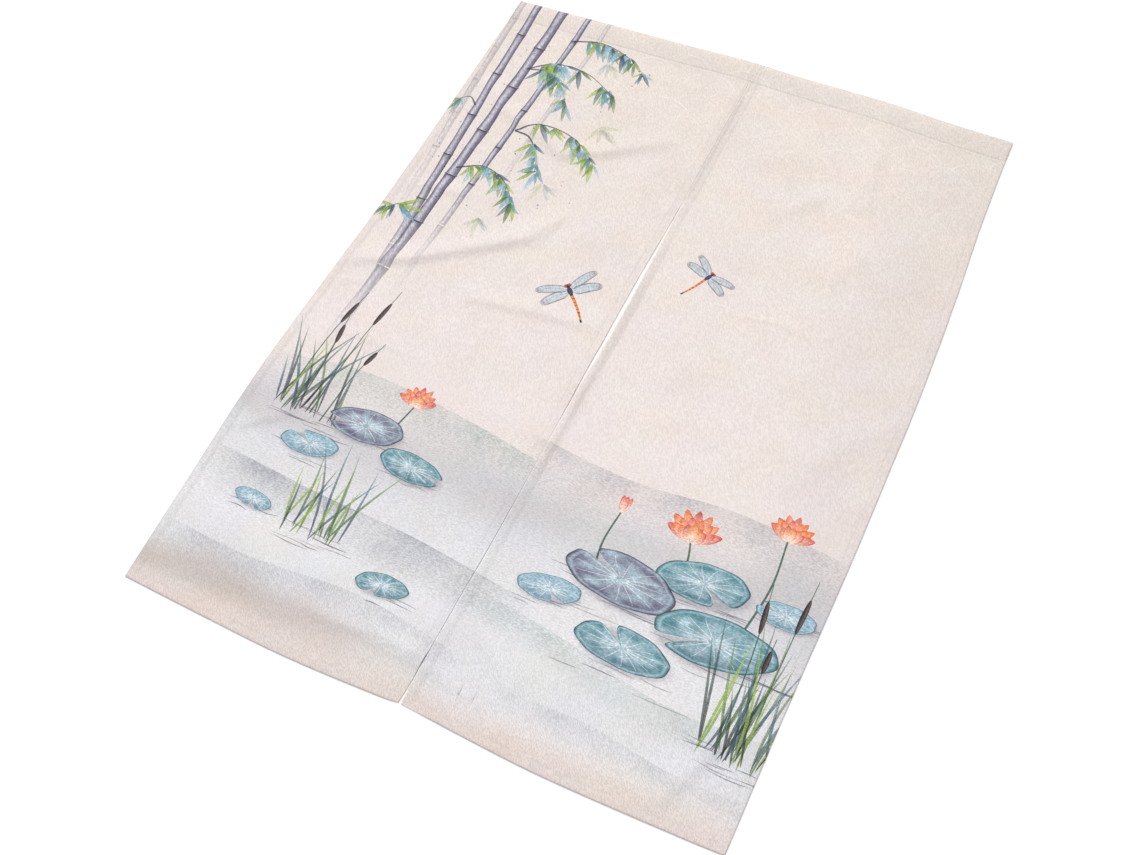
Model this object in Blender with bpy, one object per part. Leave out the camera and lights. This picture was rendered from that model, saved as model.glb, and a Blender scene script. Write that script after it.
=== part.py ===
"""Split door curtain: two cloth panels joined at the top, with a rod pocket, laid out face up.

Run with: blender --background --python part.py
Units: the named sizes are millimetres, and the solids are built in metres.
+X runs across the curtain, +Y along it towards the rod pocket, +Z out of the printed face.
The origin is the middle of the whole curtain's box, on the surface that the cloth lies on.
"""
import math
from collections import namedtuple

import bmesh
import bpy

MM = 0.001

# Cut and sewn sizes
WIDTH = 850.0  # between the side corners
LENGTH = 1175.0  # between the top and bottom corners
CLOTH = 1.2  # the cloth's thickness
HEM_EXTRA = 0.7  # what the folded hem adds to it
HEM_WIDTH = 9.0
HEM_EASE = 4.0  # the step from the hem down to the single cloth
POCKET_DEPTH = 42.0  # from the top fold to the pocket's stitch line
POCKET_WALL = 1.0
POCKET_PUFF = 5.8  # how far the pocket's two layers stand apart
POCKET_MARGIN = 3.5  # sewn shut beside the stitch line
POCKET_PINCH = 0.5  # the hollow's height at its two sides
POCKET_FULLNESS = 0.6  # under 1: the lower it is, the flatter the pocket is over its middle
SEWN_GAP = 0.3  # between two pieces that are sewn together

# Mesh steps
CELL = 22.0
POCKET_CELL = 36.0
POCKET_STEPS = 6  # across one layer of the pocket

# Each table below is a smooth curve through its rows.
# Columns: place along the edge, how far the edge stands outside its straight line.
LEFT_BOW = ((0, 4), (140, 9), (340, 15), (500, 11), (700, 4), (1090, 2), (1200, 2))
RIGHT_BOW = ((-20, 1), (200, 5), (400, 11), (560, 13), (680, 14), (860, 10), (1000, 4), (1200, 1))
TOP_BOW = ((-20, 0), (150, 5), (300, 8), (410, 12), (500, 9), (650, 9), (750, 3), (880, 0))
BOTTOM_BOW = {
    "left": ((-20, 0), (120, 5), (250, 8), (394, 3), (425, -1)),
    "right": ((410, 0), (520, 6), (620, 9), (800, 5), (880, 1)),
}

# Columns: height above the bottom corners, x of the line where the panels meet.
MEETING_LINE = (
    (-20, 417), (60, 418), (155, 420), (235, 422), (530, 424), (600, 426), (760, 427), (1200, 430),
)

# Columns: height above the bottom corners, width of the slit there. Sewn together from the last row up.
SLIT_WIDTH = (
    (-20, 5.5), (25, 1.6), (120, 1.2), (220, 0.7), (445, 0.8), (540, 4),
    (640, 8), (700, 7.5), (775, 2.5), (850, 1.2), (870, SEWN_GAP),
)

# Soft creases that stand up off the surface: the panel they are on, their height, how far they reach
# to each side, and their route over the cloth.
FOLD_RUN = 4  # even: the higher it is, the later a fold fades towards its ends
Fold = namedtuple("Fold", "panel height reach route")
FOLDS = (
    Fold("left", 4.5, 42, ((20, 1000), (90, 935), (150, 915), (215, 887), (275, 915), (375, 985))),
    Fold("left", 4.5, 36, ((-12, 568), (90, 610), (170, 665), (240, 715), (280, 790))),
    Fold("left", 2.4, 30, ((195, 580), (300, 596), (415, 606))),
    Fold("left", 2.0, 28, ((10, 742), (130, 757))),
    Fold("left", 2.6, 34, ((60, 45), (200, 62), (330, 48))),
    Fold("left", 2.2, 30, ((-10, 240), (60, 300), (110, 400))),
    Fold("right", 3.2, 34, ((668, 1118), (676, 1040), (690, 950))),
    Fold("right", 2.4, 30, ((684, 805), (718, 895))),
    Fold("right", 2.2, 34, ((560, 890), (640, 985))),
    Fold("right", 3.6, 38, ((830, 230), (795, 110), (752, 5))),
    Fold("right", 2.6, 30, ((436, 150), (480, 112), (545, 62))),
    Fold("right", 3.6, 34, ((430, 790), (431, 640), (430, 480), (428, 320))),
    Fold("right", 2.4, 34, ((866, 640), (790, 560), (740, 460))),
)

# Broad places where the cloth doesn't touch the surface.
Swell = namedtuple("Swell", "panel x y reach_x reach_y height")
SWELLS = (
    Swell("left", 200, 1010, 160, 110, 3.4),
    Swell("left", 95, 460, 120, 130, 2.6),
    Swell("left", 300, 250, 110, 110, 1.8),
    Swell("left", 330, 760, 85, 100, 2.0),
    Swell("right", 560, 640, 100, 150, 2.4),
    Swell("right", 770, 880, 90, 120, 2.6),
    Swell("right", 640, 280, 140, 110, 2.2),
    Swell("right", 540, 1030, 80, 80, 2.0),
)
POCKET_EASE = 45.0  # below the pocket the cloth lies down within this length

CLOTH_COLOUR = (0.86, 0.80, 0.75, 1.0)
POCKET_COLOUR = (0.84, 0.78, 0.73, 1.0)
CLOTH_ROUGHNESS = 0.85


def clear_scene():
    for thing in list(bpy.data.objects):
        bpy.data.objects.remove(thing, do_unlink=True)


def follow(table, place):
    """Read a smooth curve through the rows of a two-column table."""
    places = [row[0] for row in table]
    values = [row[1] for row in table]
    last = len(table) - 1
    place = min(max(place, places[0]), places[last])
    k = max(i for i in range(last) if places[i] <= place)

    def slope(i):
        before = max(i - 1, 0)
        after = min(i + 1, last)
        return (values[after] - values[before]) / (places[after] - places[before])

    span = places[k + 1] - places[k]
    t = (place - places[k]) / span
    blend = t * t * (3 - 2 * t)
    level = values[k] + (values[k + 1] - values[k]) * blend
    bend = slope(k) * t * (1 - t) ** 2 - slope(k + 1) * t * t * (1 - t)
    return level + span * bend


def mix(low, high, share):
    return low + (high - low) * share


def ease(share):
    """A smooth step from 0 to 1."""
    share = min(max(share, 0.0), 1.0)
    return share * share * (3 - 2 * share)


def meeting_edge(panel, y):
    """The x of a panel's inner edge: half of the slit away from the line where the panels meet."""
    half = follow(SLIT_WIDTH, y) / 2
    return follow(MEETING_LINE, y) + (half if panel == "right" else -half)


def side_edges(panel, y):
    """The x of a panel's two long edges, left one first."""
    if panel == "left":
        return -follow(LEFT_BOW, y), meeting_edge(panel, y)
    return meeting_edge(panel, y), WIDTH + follow(RIGHT_BOW, y)


def top_edge(x):
    return LENGTH + follow(TOP_BOW, x)


def bottom_edge(panel, x):
    return -follow(BOTTOM_BOW[panel], x)


def pocket_line(x):
    """The y of the stitch line under the rod pocket."""
    return top_edge(x) - POCKET_DEPTH


def nearest_on_route(route, x, y):
    """The distance from a point to a fold's route, and how far along the route that is, from 0 to 1."""
    lengths = [math.dist(a, b) for a, b in zip(route, route[1:])]
    best = (math.inf, 0.0)
    walked = 0.0
    for (ax, ay), (bx, by), length in zip(route, route[1:], lengths):
        share = ((x - ax) * (bx - ax) + (y - ay) * (by - ay)) / length ** 2
        share = min(max(share, 0.0), 1.0)
        away = math.hypot(x - mix(ax, bx, share), y - mix(ay, by, share))
        best = min(best, (away, (walked + share * length) / sum(lengths)))
        walked += length
    return best


def hump(share):
    """A soft bump: 1 in the middle, 0 from share 1 on."""
    return math.cos(min(share, 1.0) * math.pi / 2) ** 2


def lift(panel, x, y):
    """How far the cloth's underside stands off the surface."""
    height = 0.0
    for fold in FOLDS:
        if fold.panel == panel:
            away, along = nearest_on_route(fold.route, x, y)
            height += fold.height * hump(away / fold.reach) * (1 - (2 * along - 1) ** FOLD_RUN)
    for swell in SWELLS:
        if swell.panel == panel:
            away = math.hypot((x - swell.x) / swell.reach_x, (y - swell.y) / swell.reach_y)
            height += swell.height * hump(away)
    return height * ease((pocket_line(x) - y) / POCKET_EASE)


def hem_rise(edge_distance):
    """What the folded hem adds to the thickness at this distance from the nearest hemmed edge."""
    return HEM_EXTRA * (1 - ease((edge_distance - HEM_WIDTH) / HEM_EASE))


def lines_across(size, hem_at_end):
    """Places of the mesh lines over one side of a panel: close at the hems, even between them."""
    hem = [0.0, HEM_WIDTH, HEM_WIDTH + HEM_EASE]
    end = [size - place for place in reversed(hem)] if hem_at_end else [size]
    steps = max(1, round((end[0] - hem[-1]) / CELL))
    middle = [mix(hem[-1], end[0], i / steps) for i in range(1, steps)]
    return hem + middle + end


def panel_point(panel, across, along):
    """The x and y of a place on a panel from its shares across (left to right) and along (hem to pocket)."""
    left, right = side_edges(panel, LENGTH * along)
    x = mix(left, right, across)
    y = mix(bottom_edge(panel, x), pocket_line(x) - SEWN_GAP / 2, along)
    left, right = side_edges(panel, y)
    return mix(left, right, across), y


def build_panel(panel):
    """One curtain panel: a grid laid over the folds and raised to the cloth's thickness."""
    size_x = WIDTH / 2
    size_y = LENGTH - POCKET_DEPTH
    columns = lines_across(size_x, hem_at_end=True)
    rows = lines_across(size_y, hem_at_end=False)
    mesh = bmesh.new()
    bmesh.ops.create_grid(mesh, x_segments=len(columns) - 1, y_segments=len(rows) - 1, size=1.0)
    thickness = mesh.verts.layers.float.new("thickness")
    for vert in mesh.verts:
        column = round((vert.co.x + 1) / 2 * (len(columns) - 1))
        row = round((vert.co.y + 1) / 2 * (len(rows) - 1))
        across = columns[column]
        along = rows[row]
        x, y = panel_point(panel, across / size_x, along / size_y)
        vert.co = (x, y, lift(panel, x, y))
        vert[thickness] = CLOTH + hem_rise(min(across, size_x - across, along))
    grown = bmesh.ops.extrude_face_region(mesh, geom=mesh.faces[:])
    for item in grown["geom"]:
        if isinstance(item, bmesh.types.BMVert):
            item.co.z += item[thickness]
    return mesh


def pocket_hollow(share):
    """The height of the pocket's hollow at a share of its depth."""
    return POCKET_PINCH + (POCKET_PUFF - POCKET_PINCH) * math.sin(math.pi * share) ** POCKET_FULLNESS


def pocket_section():
    """The pocket's cross-section as two rings of (depth, height): its outside and its hollow."""
    shares = [(1 - math.cos(math.pi * i / POCKET_STEPS)) / 2 for i in range(POCKET_STEPS + 1)]
    fold_side = POCKET_DEPTH - POCKET_WALL
    outside = [(mix(0, fold_side, s), 0.0) for s in shares]
    outside.append((POCKET_DEPTH, POCKET_WALL + POCKET_PINCH / 2))
    outside += [(mix(0, fold_side, s), 2 * POCKET_WALL + pocket_hollow(s)) for s in reversed(shares)]
    inner_side = fold_side - POCKET_WALL
    hollow = [(mix(POCKET_MARGIN, inner_side, s), POCKET_WALL) for s in shares]
    hollow.append((fold_side, POCKET_WALL + POCKET_PINCH / 2))
    hollow += [(mix(POCKET_MARGIN, inner_side, s), POCKET_WALL + pocket_hollow(s)) for s in reversed(shares)]
    return outside, hollow


def pocket_point(panel, across, depth, z):
    """A place on the pocket from its share across, its depth above the stitch line and its height."""
    low_x, high_x = side_edges(panel, LENGTH)
    base = pocket_line(mix(low_x, high_x, across)) + SEWN_GAP / 2
    y = base + depth * (POCKET_DEPTH - SEWN_GAP / 2) / POCKET_DEPTH
    left, right = side_edges(panel, y)
    return mix(left, right, across), y, z


def skin(mesh, ring, following):
    """A band of faces between two rings with the same number of points."""
    for i in range(len(ring)):
        j = (i + 1) % len(ring)
        mesh.faces.new((ring[i], ring[j], following[j], following[i]))


def build_pocket(panel):
    """One panel's share of the rod pocket: a flat sleeve, open at both ends."""
    stations = round(WIDTH / 2 / POCKET_CELL)
    mesh = bmesh.new()
    tubes = []
    for section in pocket_section():
        rings = []
        for i in range(stations + 1):
            points = [pocket_point(panel, i / stations, depth, z) for depth, z in section]
            rings.append([mesh.verts.new(point) for point in points])
        for ring, following in zip(rings, rings[1:]):
            skin(mesh, ring, following)
        tubes.append(rings)
    outside, hollow = tubes
    skin(mesh, outside[0], hollow[0])
    skin(mesh, outside[-1], hollow[-1])
    return mesh


def cloth_material(name, colour):
    material = bpy.data.materials.new(name)
    material.use_nodes = True
    shader = material.node_tree.nodes["Principled BSDF"]
    shader.inputs["Base Color"].default_value = colour
    shader.inputs["Roughness"].default_value = CLOTH_ROUGHNESS
    shader.inputs["Metallic"].default_value = 0.0
    return material


def add_object(name, solid, colour):
    bmesh.ops.recalc_face_normals(solid, faces=solid.faces[:])
    bmesh.ops.triangulate(solid, faces=solid.faces[:])
    mesh = bpy.data.meshes.new(name)
    solid.to_mesh(mesh)
    solid.free()
    mesh.shade_smooth()
    mesh.materials.append(cloth_material(name, colour))
    thing = bpy.data.objects.new(name, mesh)
    bpy.context.scene.collection.objects.link(thing)
    return thing


def centre_and_scale(things):
    """Move the origin to the middle of the whole curtain's box and turn millimetres into metres."""
    points = [vert.co.copy() for thing in things for vert in thing.data.vertices]
    middle_x = (min(p.x for p in points) + max(p.x for p in points)) / 2
    middle_y = (min(p.y for p in points) + max(p.y for p in points)) / 2
    for thing in things:
        for vert in thing.data.vertices:
            vert.co.x = (vert.co.x - middle_x) * MM
            vert.co.y = (vert.co.y - middle_y) * MM
            vert.co.z *= MM


def main():
    clear_scene()
    things = []
    for panel in ("left", "right"):
        things.append(add_object("panel_" + panel, build_panel(panel), CLOTH_COLOUR))
        things.append(add_object("rod_pocket_" + panel, build_pocket(panel), POCKET_COLOUR))
    centre_and_scale(things)


main()
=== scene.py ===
"""A split door curtain laid out face up on a pale floor: its cloth, hems, stitches and ink-wash print.

Plan sizes are millimetres on the laid-out cloth: x from the left corners, y from the bottom corners.
"""
import math
from collections import namedtuple

import bpy
import numpy as np
from mathutils import Matrix, Vector
from mathutils.geometry import delaunay_2d_cdt


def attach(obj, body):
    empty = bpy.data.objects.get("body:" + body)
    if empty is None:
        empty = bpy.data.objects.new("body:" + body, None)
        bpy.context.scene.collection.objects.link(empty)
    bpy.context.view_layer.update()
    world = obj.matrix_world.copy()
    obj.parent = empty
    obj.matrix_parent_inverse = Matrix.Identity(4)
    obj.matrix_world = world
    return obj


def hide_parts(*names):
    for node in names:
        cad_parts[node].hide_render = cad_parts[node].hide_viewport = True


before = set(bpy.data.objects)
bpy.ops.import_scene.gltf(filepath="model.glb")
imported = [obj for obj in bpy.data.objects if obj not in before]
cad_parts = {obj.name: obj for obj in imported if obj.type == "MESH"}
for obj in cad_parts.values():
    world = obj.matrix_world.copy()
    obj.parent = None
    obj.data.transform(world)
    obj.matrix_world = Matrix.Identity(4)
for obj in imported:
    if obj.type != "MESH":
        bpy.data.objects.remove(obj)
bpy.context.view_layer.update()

MM = 0.001

# Cut and sewn sizes, as in the solids
WIDTH = 850.0
LENGTH = 1175.0
POCKET_DEPTH = 42.0
POCKET_EASE = 45.0
FOLD_RUN = 4

# The cloth itself
CLOTH = 0.8  # thickness
HEM_LINE = 11.5  # from the edge to the hem's stitches
HEM_FRONT = 0.5  # how far a hem stands up on the printed face
HEM_BACK = 0.4  # how far it stands down on the back
HEM_STEP = 1.6  # width of the step at the hem's inner edge
GROOVE = 0.45  # depth of the line that stitches pull in
GROOVE_REACH = 1.5
SEAM_DIP = 0.55  # depth of the pressed band beside the seam
RIM = 0.65  # roundness of the cloth's edges
SEAM_RIM = 0.1  # how much of that is left where the panels are sewn together
SEAM_REST = 1.05  # height of the cloth's underside where the pocket's back layer lies under it

# The rod pocket's section: height of the cloth's middle above the stitch line, by distance from that line
POCKET_TOP = (
    (0, 1.4), (6, 2.0), (12, 2.7), (18, 3.3), (24, 3.7), (30, 3.8), (35, 3.5), (38.5, 3.0), (40.4, 2.6),
)
POCKET_FOLD = 40.4  # where the cloth starts to turn over
POCKET_NOSE = 1.2  # how far the turned edge reaches past that
POCKET_TURN = 8.0  # length on the sheet that is given to the turn
POCKET_BACK = 0.45  # height of the back layer's middle
POCKET_UNDER = 3.0  # how far the back layer reaches below the stitch line

# Each table below is a smooth curve through its rows.
# Columns: place along the edge, how far the edge stands outside its straight line.
LEFT_BOW = ((0, 4), (140, 9), (340, 15), (500, 11), (700, 4), (1090, 2), (1200, 2))
RIGHT_BOW = ((-20, 1), (200, 5), (400, 11), (560, 13), (680, 14), (860, 10), (1000, 4), (1200, 1))
TOP_BOW = ((-20, 0), (150, 5), (300, 8), (410, 12), (500, 9), (650, 9), (750, 3), (880, 0))
BOTTOM_BOW = {
    "left": ((-20, 0), (120, 5), (250, 8), (394, 3), (425, -1)),
    "right": ((410, 0), (520, 6), (620, 9), (800, 5), (880, 1)),
}

# Columns: height above the bottom corners, x of the line where the panels meet.
MEETING_LINE = (
    (-20, 417), (60, 418), (155, 420), (235, 422), (530, 424), (600, 426), (760, 427), (1200, 430),
)

# Columns: height above the bottom corners, width of the slit there. Sewn together from the last row up.
SLIT_WIDTH = (
    (-20, 5.5), (20, 1.8), (60, 0.6), (95, 0.3), (150, 1.4), (225, 1.2), (300, 0.5), (380, 0.4), (440, 1),
    (480, 2), (540, 4.6), (600, 6.2), (640, 6.7), (700, 6.4), (760, 4.2), (800, 2.4), (845, 1), (870, 0.04),
)
SLIT_TOP = 870.0

# Soft creases, then sharper small ones and the traces of how the curtain was packed.
# Columns: height, how far it reaches to each side, route.
FOLDS = {
    "left": (
        (4.5, 42, ((20, 1000), (90, 935), (150, 915), (215, 887), (275, 915), (375, 985))),
        (4.5, 36, ((-12, 568), (90, 610), (170, 665), (240, 715), (280, 790))),
        (2.4, 30, ((195, 580), (300, 596), (415, 606))),
        (2.0, 28, ((10, 742), (130, 757))),
        (1.0, 34, ((60, 45), (200, 62), (330, 48))),
        (2.2, 30, ((-10, 240), (60, 300), (110, 400))),
        (0.9, 12, ((152, 782), (160, 740), (172, 700))),
        (0.9, 12, ((158, 646), (163, 600), (170, 548))),
        (0.9, 12, ((162, 536), (168, 486))),
        (0.9, 12, ((274, 776), (266, 738), (256, 700))),
        (0.9, 12, ((256, 548), (261, 484))),
        (0.8, 15, ((24, 450), (110, 458), (208, 452))),
        (0.8, 14, ((4, 528), (46, 546))),
        (0.9, 13, ((34, 838), (80, 846), (118, 842))),
        (0.7, 12, ((208, 880), (222, 905), (228, 960))),
        (0.6, 12, ((55, 150), (150, 175), (250, 168))),
        (0.6, 12, ((120, 1085), (210, 1100), (330, 1090))),
        (2.8, 30, ((225, 62), (330, 58), (500, 50))),
        (1.6, 14, ((286, 60), (345, 65), (400, 63), (440, 60))),
    ),
    "right": (
        (2.3, 44, ((668, 1118), (676, 1040), (690, 950))),
        (1.3, 40, ((684, 805), (718, 895))),
        (1.4, 46, ((560, 890), (640, 985))),
        (3.6, 38, ((830, 230), (795, 110), (752, 5))),
        (2.6, 30, ((436, 150), (480, 112), (545, 62))),
        (3.6, 34, ((430, 790), (431, 640), (430, 480), (428, 320))),
        (1.4, 54, ((866, 640), (790, 560), (740, 460))),
        (1.3, 22, ((330, 55), (440, 48), (520, 36))),
        (0.6, 13, ((420, 57), (474, 54))),
        (0.8, 12, ((484, 566), (490, 540), (499, 502))),
        (0.8, 12, ((694, 548), (690, 520), (696, 486))),
        (0.8, 12, ((680, 850), (696, 800))),
        (0.7, 14, ((560, 700), (640, 716), (700, 708))),
        (0.7, 13, ((445, 1110), (447, 1000), (444, 890))),
        (0.6, 12, ((610, 205), (700, 190), (790, 214))),
        (0.6, 12, ((760, 1090), (790, 1010), (845, 950))),
    ),
}

# Broad places where the cloth doesn't touch the floor, in columns: x, y, reach along x and along y, height.
SWELLS = {
    "left": (
        (200, 1010, 160, 110, 3.4),
        (95, 460, 120, 130, 2.6),
        (300, 250, 110, 110, 1.8),
        (330, 760, 85, 100, 2.0),
    ),
    "right": (
        (560, 640, 100, 150, 2.4),
        (770, 880, 90, 120, 2.6),
        (640, 280, 140, 110, 2.2),
        (540, 1030, 80, 80, 2.0),
    ),
}

# A fold drops steeply towards the near right corner and gently the other way
STEEP_SIDE = (0.59, -0.81)
STEEP_REACH = 0.5  # of the fold's reach
GENTLE_REACH = 1.3
CREST_SHARE = 0.3  # of its height, in a crest half as wide
UNEVENNESS = 0.18  # height of the small waves all over the cloth
PUCKER_REACH = 9.0  # how far the puckers reach from a line of stitches

# Mesh steps on the sheet
FACE_STEP = 3.8
BACK_STEP = 8.0
EDGE_STEP = 4.0


def follow(table, place):
    """Read a smooth curve through the rows of a two-column table, at an array of places."""
    knots, values = np.array(table, float).T
    last = len(knots) - 1
    before = np.maximum(np.arange(last + 1) - 1, 0)
    after = np.minimum(np.arange(last + 1) + 1, last)
    slopes = (values[after] - values[before]) / (knots[after] - knots[before])
    place = np.clip(place, knots[0], knots[-1])
    k = np.clip(np.searchsorted(knots, place, side="right") - 1, 0, last - 1)
    span = knots[k + 1] - knots[k]
    t = (place - knots[k]) / span
    level = values[k] + (values[k + 1] - values[k]) * t * t * (3 - 2 * t)
    return level + span * (slopes[k] * t * (1 - t) ** 2 - slopes[k + 1] * t * t * (1 - t))


def mix(low, high, share):
    return low + (high - low) * share


def ease(share):
    """A smooth step from 0 to 1."""
    share = np.clip(share, 0.0, 1.0)
    return share * share * (3 - 2 * share)


def hump(share):
    """A soft bump: 1 in the middle, 0 from share 1 on."""
    return np.cos(np.minimum(np.abs(share), 1.0) * math.pi / 2) ** 2


def mottle(x, y, size, seed):
    """Smooth noise, mostly from -1 to 1, in blotches of about this size."""
    dice = np.random.default_rng(seed)
    total = 0.0
    for _ in range(7):
        angle, phase = dice.uniform(0, 2 * math.pi, 2)
        wave = 2 * size * dice.uniform(0.7, 1.6)
        total = total + np.sin((x * math.cos(angle) + y * math.sin(angle)) * 2 * math.pi / wave + phase)
    return total / 3.0


# The outline of each panel

def meeting_edge(panel, y):
    half = follow(SLIT_WIDTH, y) / 2
    return follow(MEETING_LINE, y) + (half if panel == "right" else -half)


def side_edges(panel, y):
    """The x of a panel's two long edges, left one first."""
    if panel == "left":
        return -follow(LEFT_BOW, y), meeting_edge(panel, y)
    return meeting_edge(panel, y), WIDTH + follow(RIGHT_BOW, y)


def top_edge(x):
    return LENGTH + follow(TOP_BOW, x)


def bottom_edge(panel, x):
    return -follow(BOTTOM_BOW[panel], x)


def pocket_line(x):
    return top_edge(x) - POCKET_DEPTH


def middle_of_plan():
    """The middle of the curtain's box on the plan, which is the part's origin."""
    y = np.linspace(0, LENGTH, 400)
    x = np.linspace(0, WIDTH, 400)
    left = side_edges("left", y)[0].min()
    right = side_edges("right", y)[1].max()
    bottom = min(bottom_edge("left", x[x < WIDTH / 2]).min(), bottom_edge("right", x[x > WIDTH / 2]).min())
    return (left + right) / 2, (bottom + top_edge(x).max()) / 2


MIDDLE_X, MIDDLE_Y = middle_of_plan()


# How the cloth lies

def near_route(route, x, y):
    """The distance to a fold's route, how far along it that is, from 0 to 1, and whether the place is on
    the fold's steep side, from 0 to 1."""
    lengths = [math.dist(a, b) for a, b in zip(route, route[1:])]
    best = np.full(np.shape(x), np.inf)
    along = np.zeros(np.shape(x))
    lee = np.zeros(np.shape(x))
    walked = 0.0
    for (ax, ay), (bx, by), length in zip(route, route[1:], lengths):
        share = np.clip(((x - ax) * (bx - ax) + (y - ay) * (by - ay)) / length ** 2, 0, 1)
        off_x, off_y = x - mix(ax, bx, share), y - mix(ay, by, share)
        away = np.hypot(off_x, off_y)
        closer = away < best
        best = np.where(closer, away, best)
        along = np.where(closer, (walked + share * length) / sum(lengths), along)
        downhill = off_x * STEEP_SIDE[0] + off_y * STEEP_SIDE[1]
        lee = np.where(closer, ease(0.5 + downhill / np.maximum(away, 1e-6) / 1.2), lee)
        walked += length
    return best, along, lee


def fold_height(height, reach, route, x, y):
    """One fold: a steep side and a long gentle one, with part of its height in a narrower crest."""
    away, along, lee = near_route(route, x, y)
    reach = reach * mix(GENTLE_REACH, STEEP_REACH, lee)
    profile = mix(hump(away / reach), hump(away / (0.5 * reach)), CREST_SHARE)
    return height * profile * (1 - (2 * along - 1) ** FOLD_RUN)


def lift(panel, x, y):
    """How far the cloth's underside stands off the floor."""
    height = UNEVENNESS * np.maximum(1 + mottle(x, y, 34, 5), 0) * ease((y - 5) / 60)
    for fold in FOLDS[panel]:
        height = height + fold_height(*fold, x, y)
    for middle_x, middle_y, reach_x, reach_y, rise in SWELLS[panel]:
        height = height + rise * hump(np.hypot((x - middle_x) / reach_x, (y - middle_y) / reach_y))
    return height * ease((pocket_line(x) - y) / POCKET_EASE)


def edge_distance(panel, x, y):
    """The distance to the nearest hemmed edge."""
    left, right = side_edges(panel, y)
    return np.minimum(np.minimum(x - left, right - x), y - bottom_edge(panel, x))


def pucker(x, y):
    """The small unevenness that sewing leaves beside a line of stitches."""
    return 0.12 * mottle(x, y, 9, 21) + 0.08 * mottle(x, y, 4, 22)


def flat_sides(panel, x, y):
    """The heights of the cloth's back and of its printed face, below the pocket."""
    edge = edge_distance(panel, x, y)
    below_pocket = pocket_line(x) - y
    body = 1 - ease(1 - (below_pocket - POCKET_UNDER) / 6)
    rest = lift(panel, x, y) + mix(SEAM_REST, HEM_BACK + 0.05, body)
    back = rest - HEM_BACK * body * (1 - ease((edge - HEM_LINE - 1.5) / HEM_STEP))
    face = rest + CLOTH + HEM_FRONT * body * (1 - ease((edge - HEM_LINE - 1.0) / HEM_STEP))
    if panel == "right":
        from_seam = x - side_edges(panel, y)[0]
        face = face - SEAM_DIP * body * hump((from_seam - 5) / 6) * ease((y - SLIT_TOP + 20) / 60)
    sewn = np.maximum(hump((edge - HEM_LINE) / GROOVE_REACH) * body, hump(below_pocket / GROOVE_REACH))
    beside = np.maximum(hump((edge - HEM_LINE) / PUCKER_REACH), hump(below_pocket / PUCKER_REACH))
    return back, face - GROOVE * sewn + pucker(x, y) * beside


def pocket_middle(x, along):
    """The middle of the cloth in the pocket: its distance above the stitch line, its height, and the
    direction out of the printed face, for a length along the sheet past the stitch line."""
    from_end = np.minimum(x + 3, WIDTH + 3 - x)
    fullness = (0.88 + 0.12 * mottle(x, 0, 70, 31)) * mix(0.62, 1.0, ease(from_end / 40))
    low, high = POCKET_TOP[0][1], POCKET_TOP[-1][1]
    height = low + (follow(POCKET_TOP, along) - low) * fullness
    step = 0.5
    rise = follow(POCKET_TOP, along + step) - follow(POCKET_TOP, along - step)
    slope = rise * fullness / (2 * step) * ease(along / step)
    past_turn = along - POCKET_FOLD - POCKET_TURN
    turn = np.clip((along - POCKET_FOLD) / POCKET_TURN, 0, 1) * math.pi
    half = (low + (high - low) * fullness - POCKET_BACK) / 2
    parts = [along <= POCKET_FOLD, past_turn >= 0]
    above = np.select(parts, [along, POCKET_FOLD - past_turn], POCKET_FOLD + POCKET_NOSE * np.sin(turn))
    z = np.where(parts[0], height, POCKET_BACK + half * (1 + np.cos(turn)))
    out_y = np.select(parts, [-slope, 0.0], half * np.sin(turn))
    out_z = np.select(parts, [1.0, -1.0], POCKET_NOSE * np.cos(turn))
    size = np.hypot(out_y, out_z)
    return above, z, out_y / size, out_z / size


def place(panel, x, s, face):
    """Where a point of the sheet lies, in plan millimetres. s is its length along the sheet, which goes
    on over the pocket's top fold, and face is 1 on the printed face and 0 on the back."""
    along = s - pocket_line(x)
    above, middle, out_y, out_z = pocket_middle(x, np.maximum(along, 0))
    left, right = side_edges(panel, pocket_line(x) + above)
    hem = np.minimum(x - left, right - x) - HEM_LINE
    sewn = np.maximum(hump(along / GROOVE_REACH), hump(hem / GROOVE_REACH) * ease(along / 4))
    offset = CLOTH * (face - 0.5) + face * (pucker(x, s) * hump(along / PUCKER_REACH) - GROOVE * sewn)
    in_pocket = along > 0
    flat_z = mix(*flat_sides(panel, x, s), face)
    y = np.where(in_pocket, pocket_line(x) + above + out_y * offset, s)
    z = np.where(in_pocket, middle + out_z * offset, flat_z)
    return np.stack([x, y, z], axis=-1)


def to_metres(points):
    return (points - np.array([MIDDLE_X, MIDDLE_Y, 0.0])) * MM


def sheet_end(x):
    """How long the sheet is, up to the end of the pocket's back layer."""
    return pocket_line(x) + 2 * POCKET_FOLD + POCKET_TURN + POCKET_UNDER


def sheet_side_edges(panel, x_guess, s):
    """The x of the sheet's two long edges at a length along it, also past the top fold."""
    along = s - pocket_line(x_guess)
    above = pocket_middle(x_guess, np.maximum(along, 0))[0]
    y = np.where(along > 0, pocket_line(x_guess) + above, s)
    return side_edges(panel, y)


# The print: strokes of ink and colour, each with its outline, painted in order

def rgb(text):
    """A linear colour from the usual six digits."""
    share = np.array([int(text[i:i + 2], 16) for i in (0, 2, 4)]) / 255
    return np.where(share <= 0.04045, share / 12.92, ((share + 0.055) / 1.055) ** 2.4)


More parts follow.
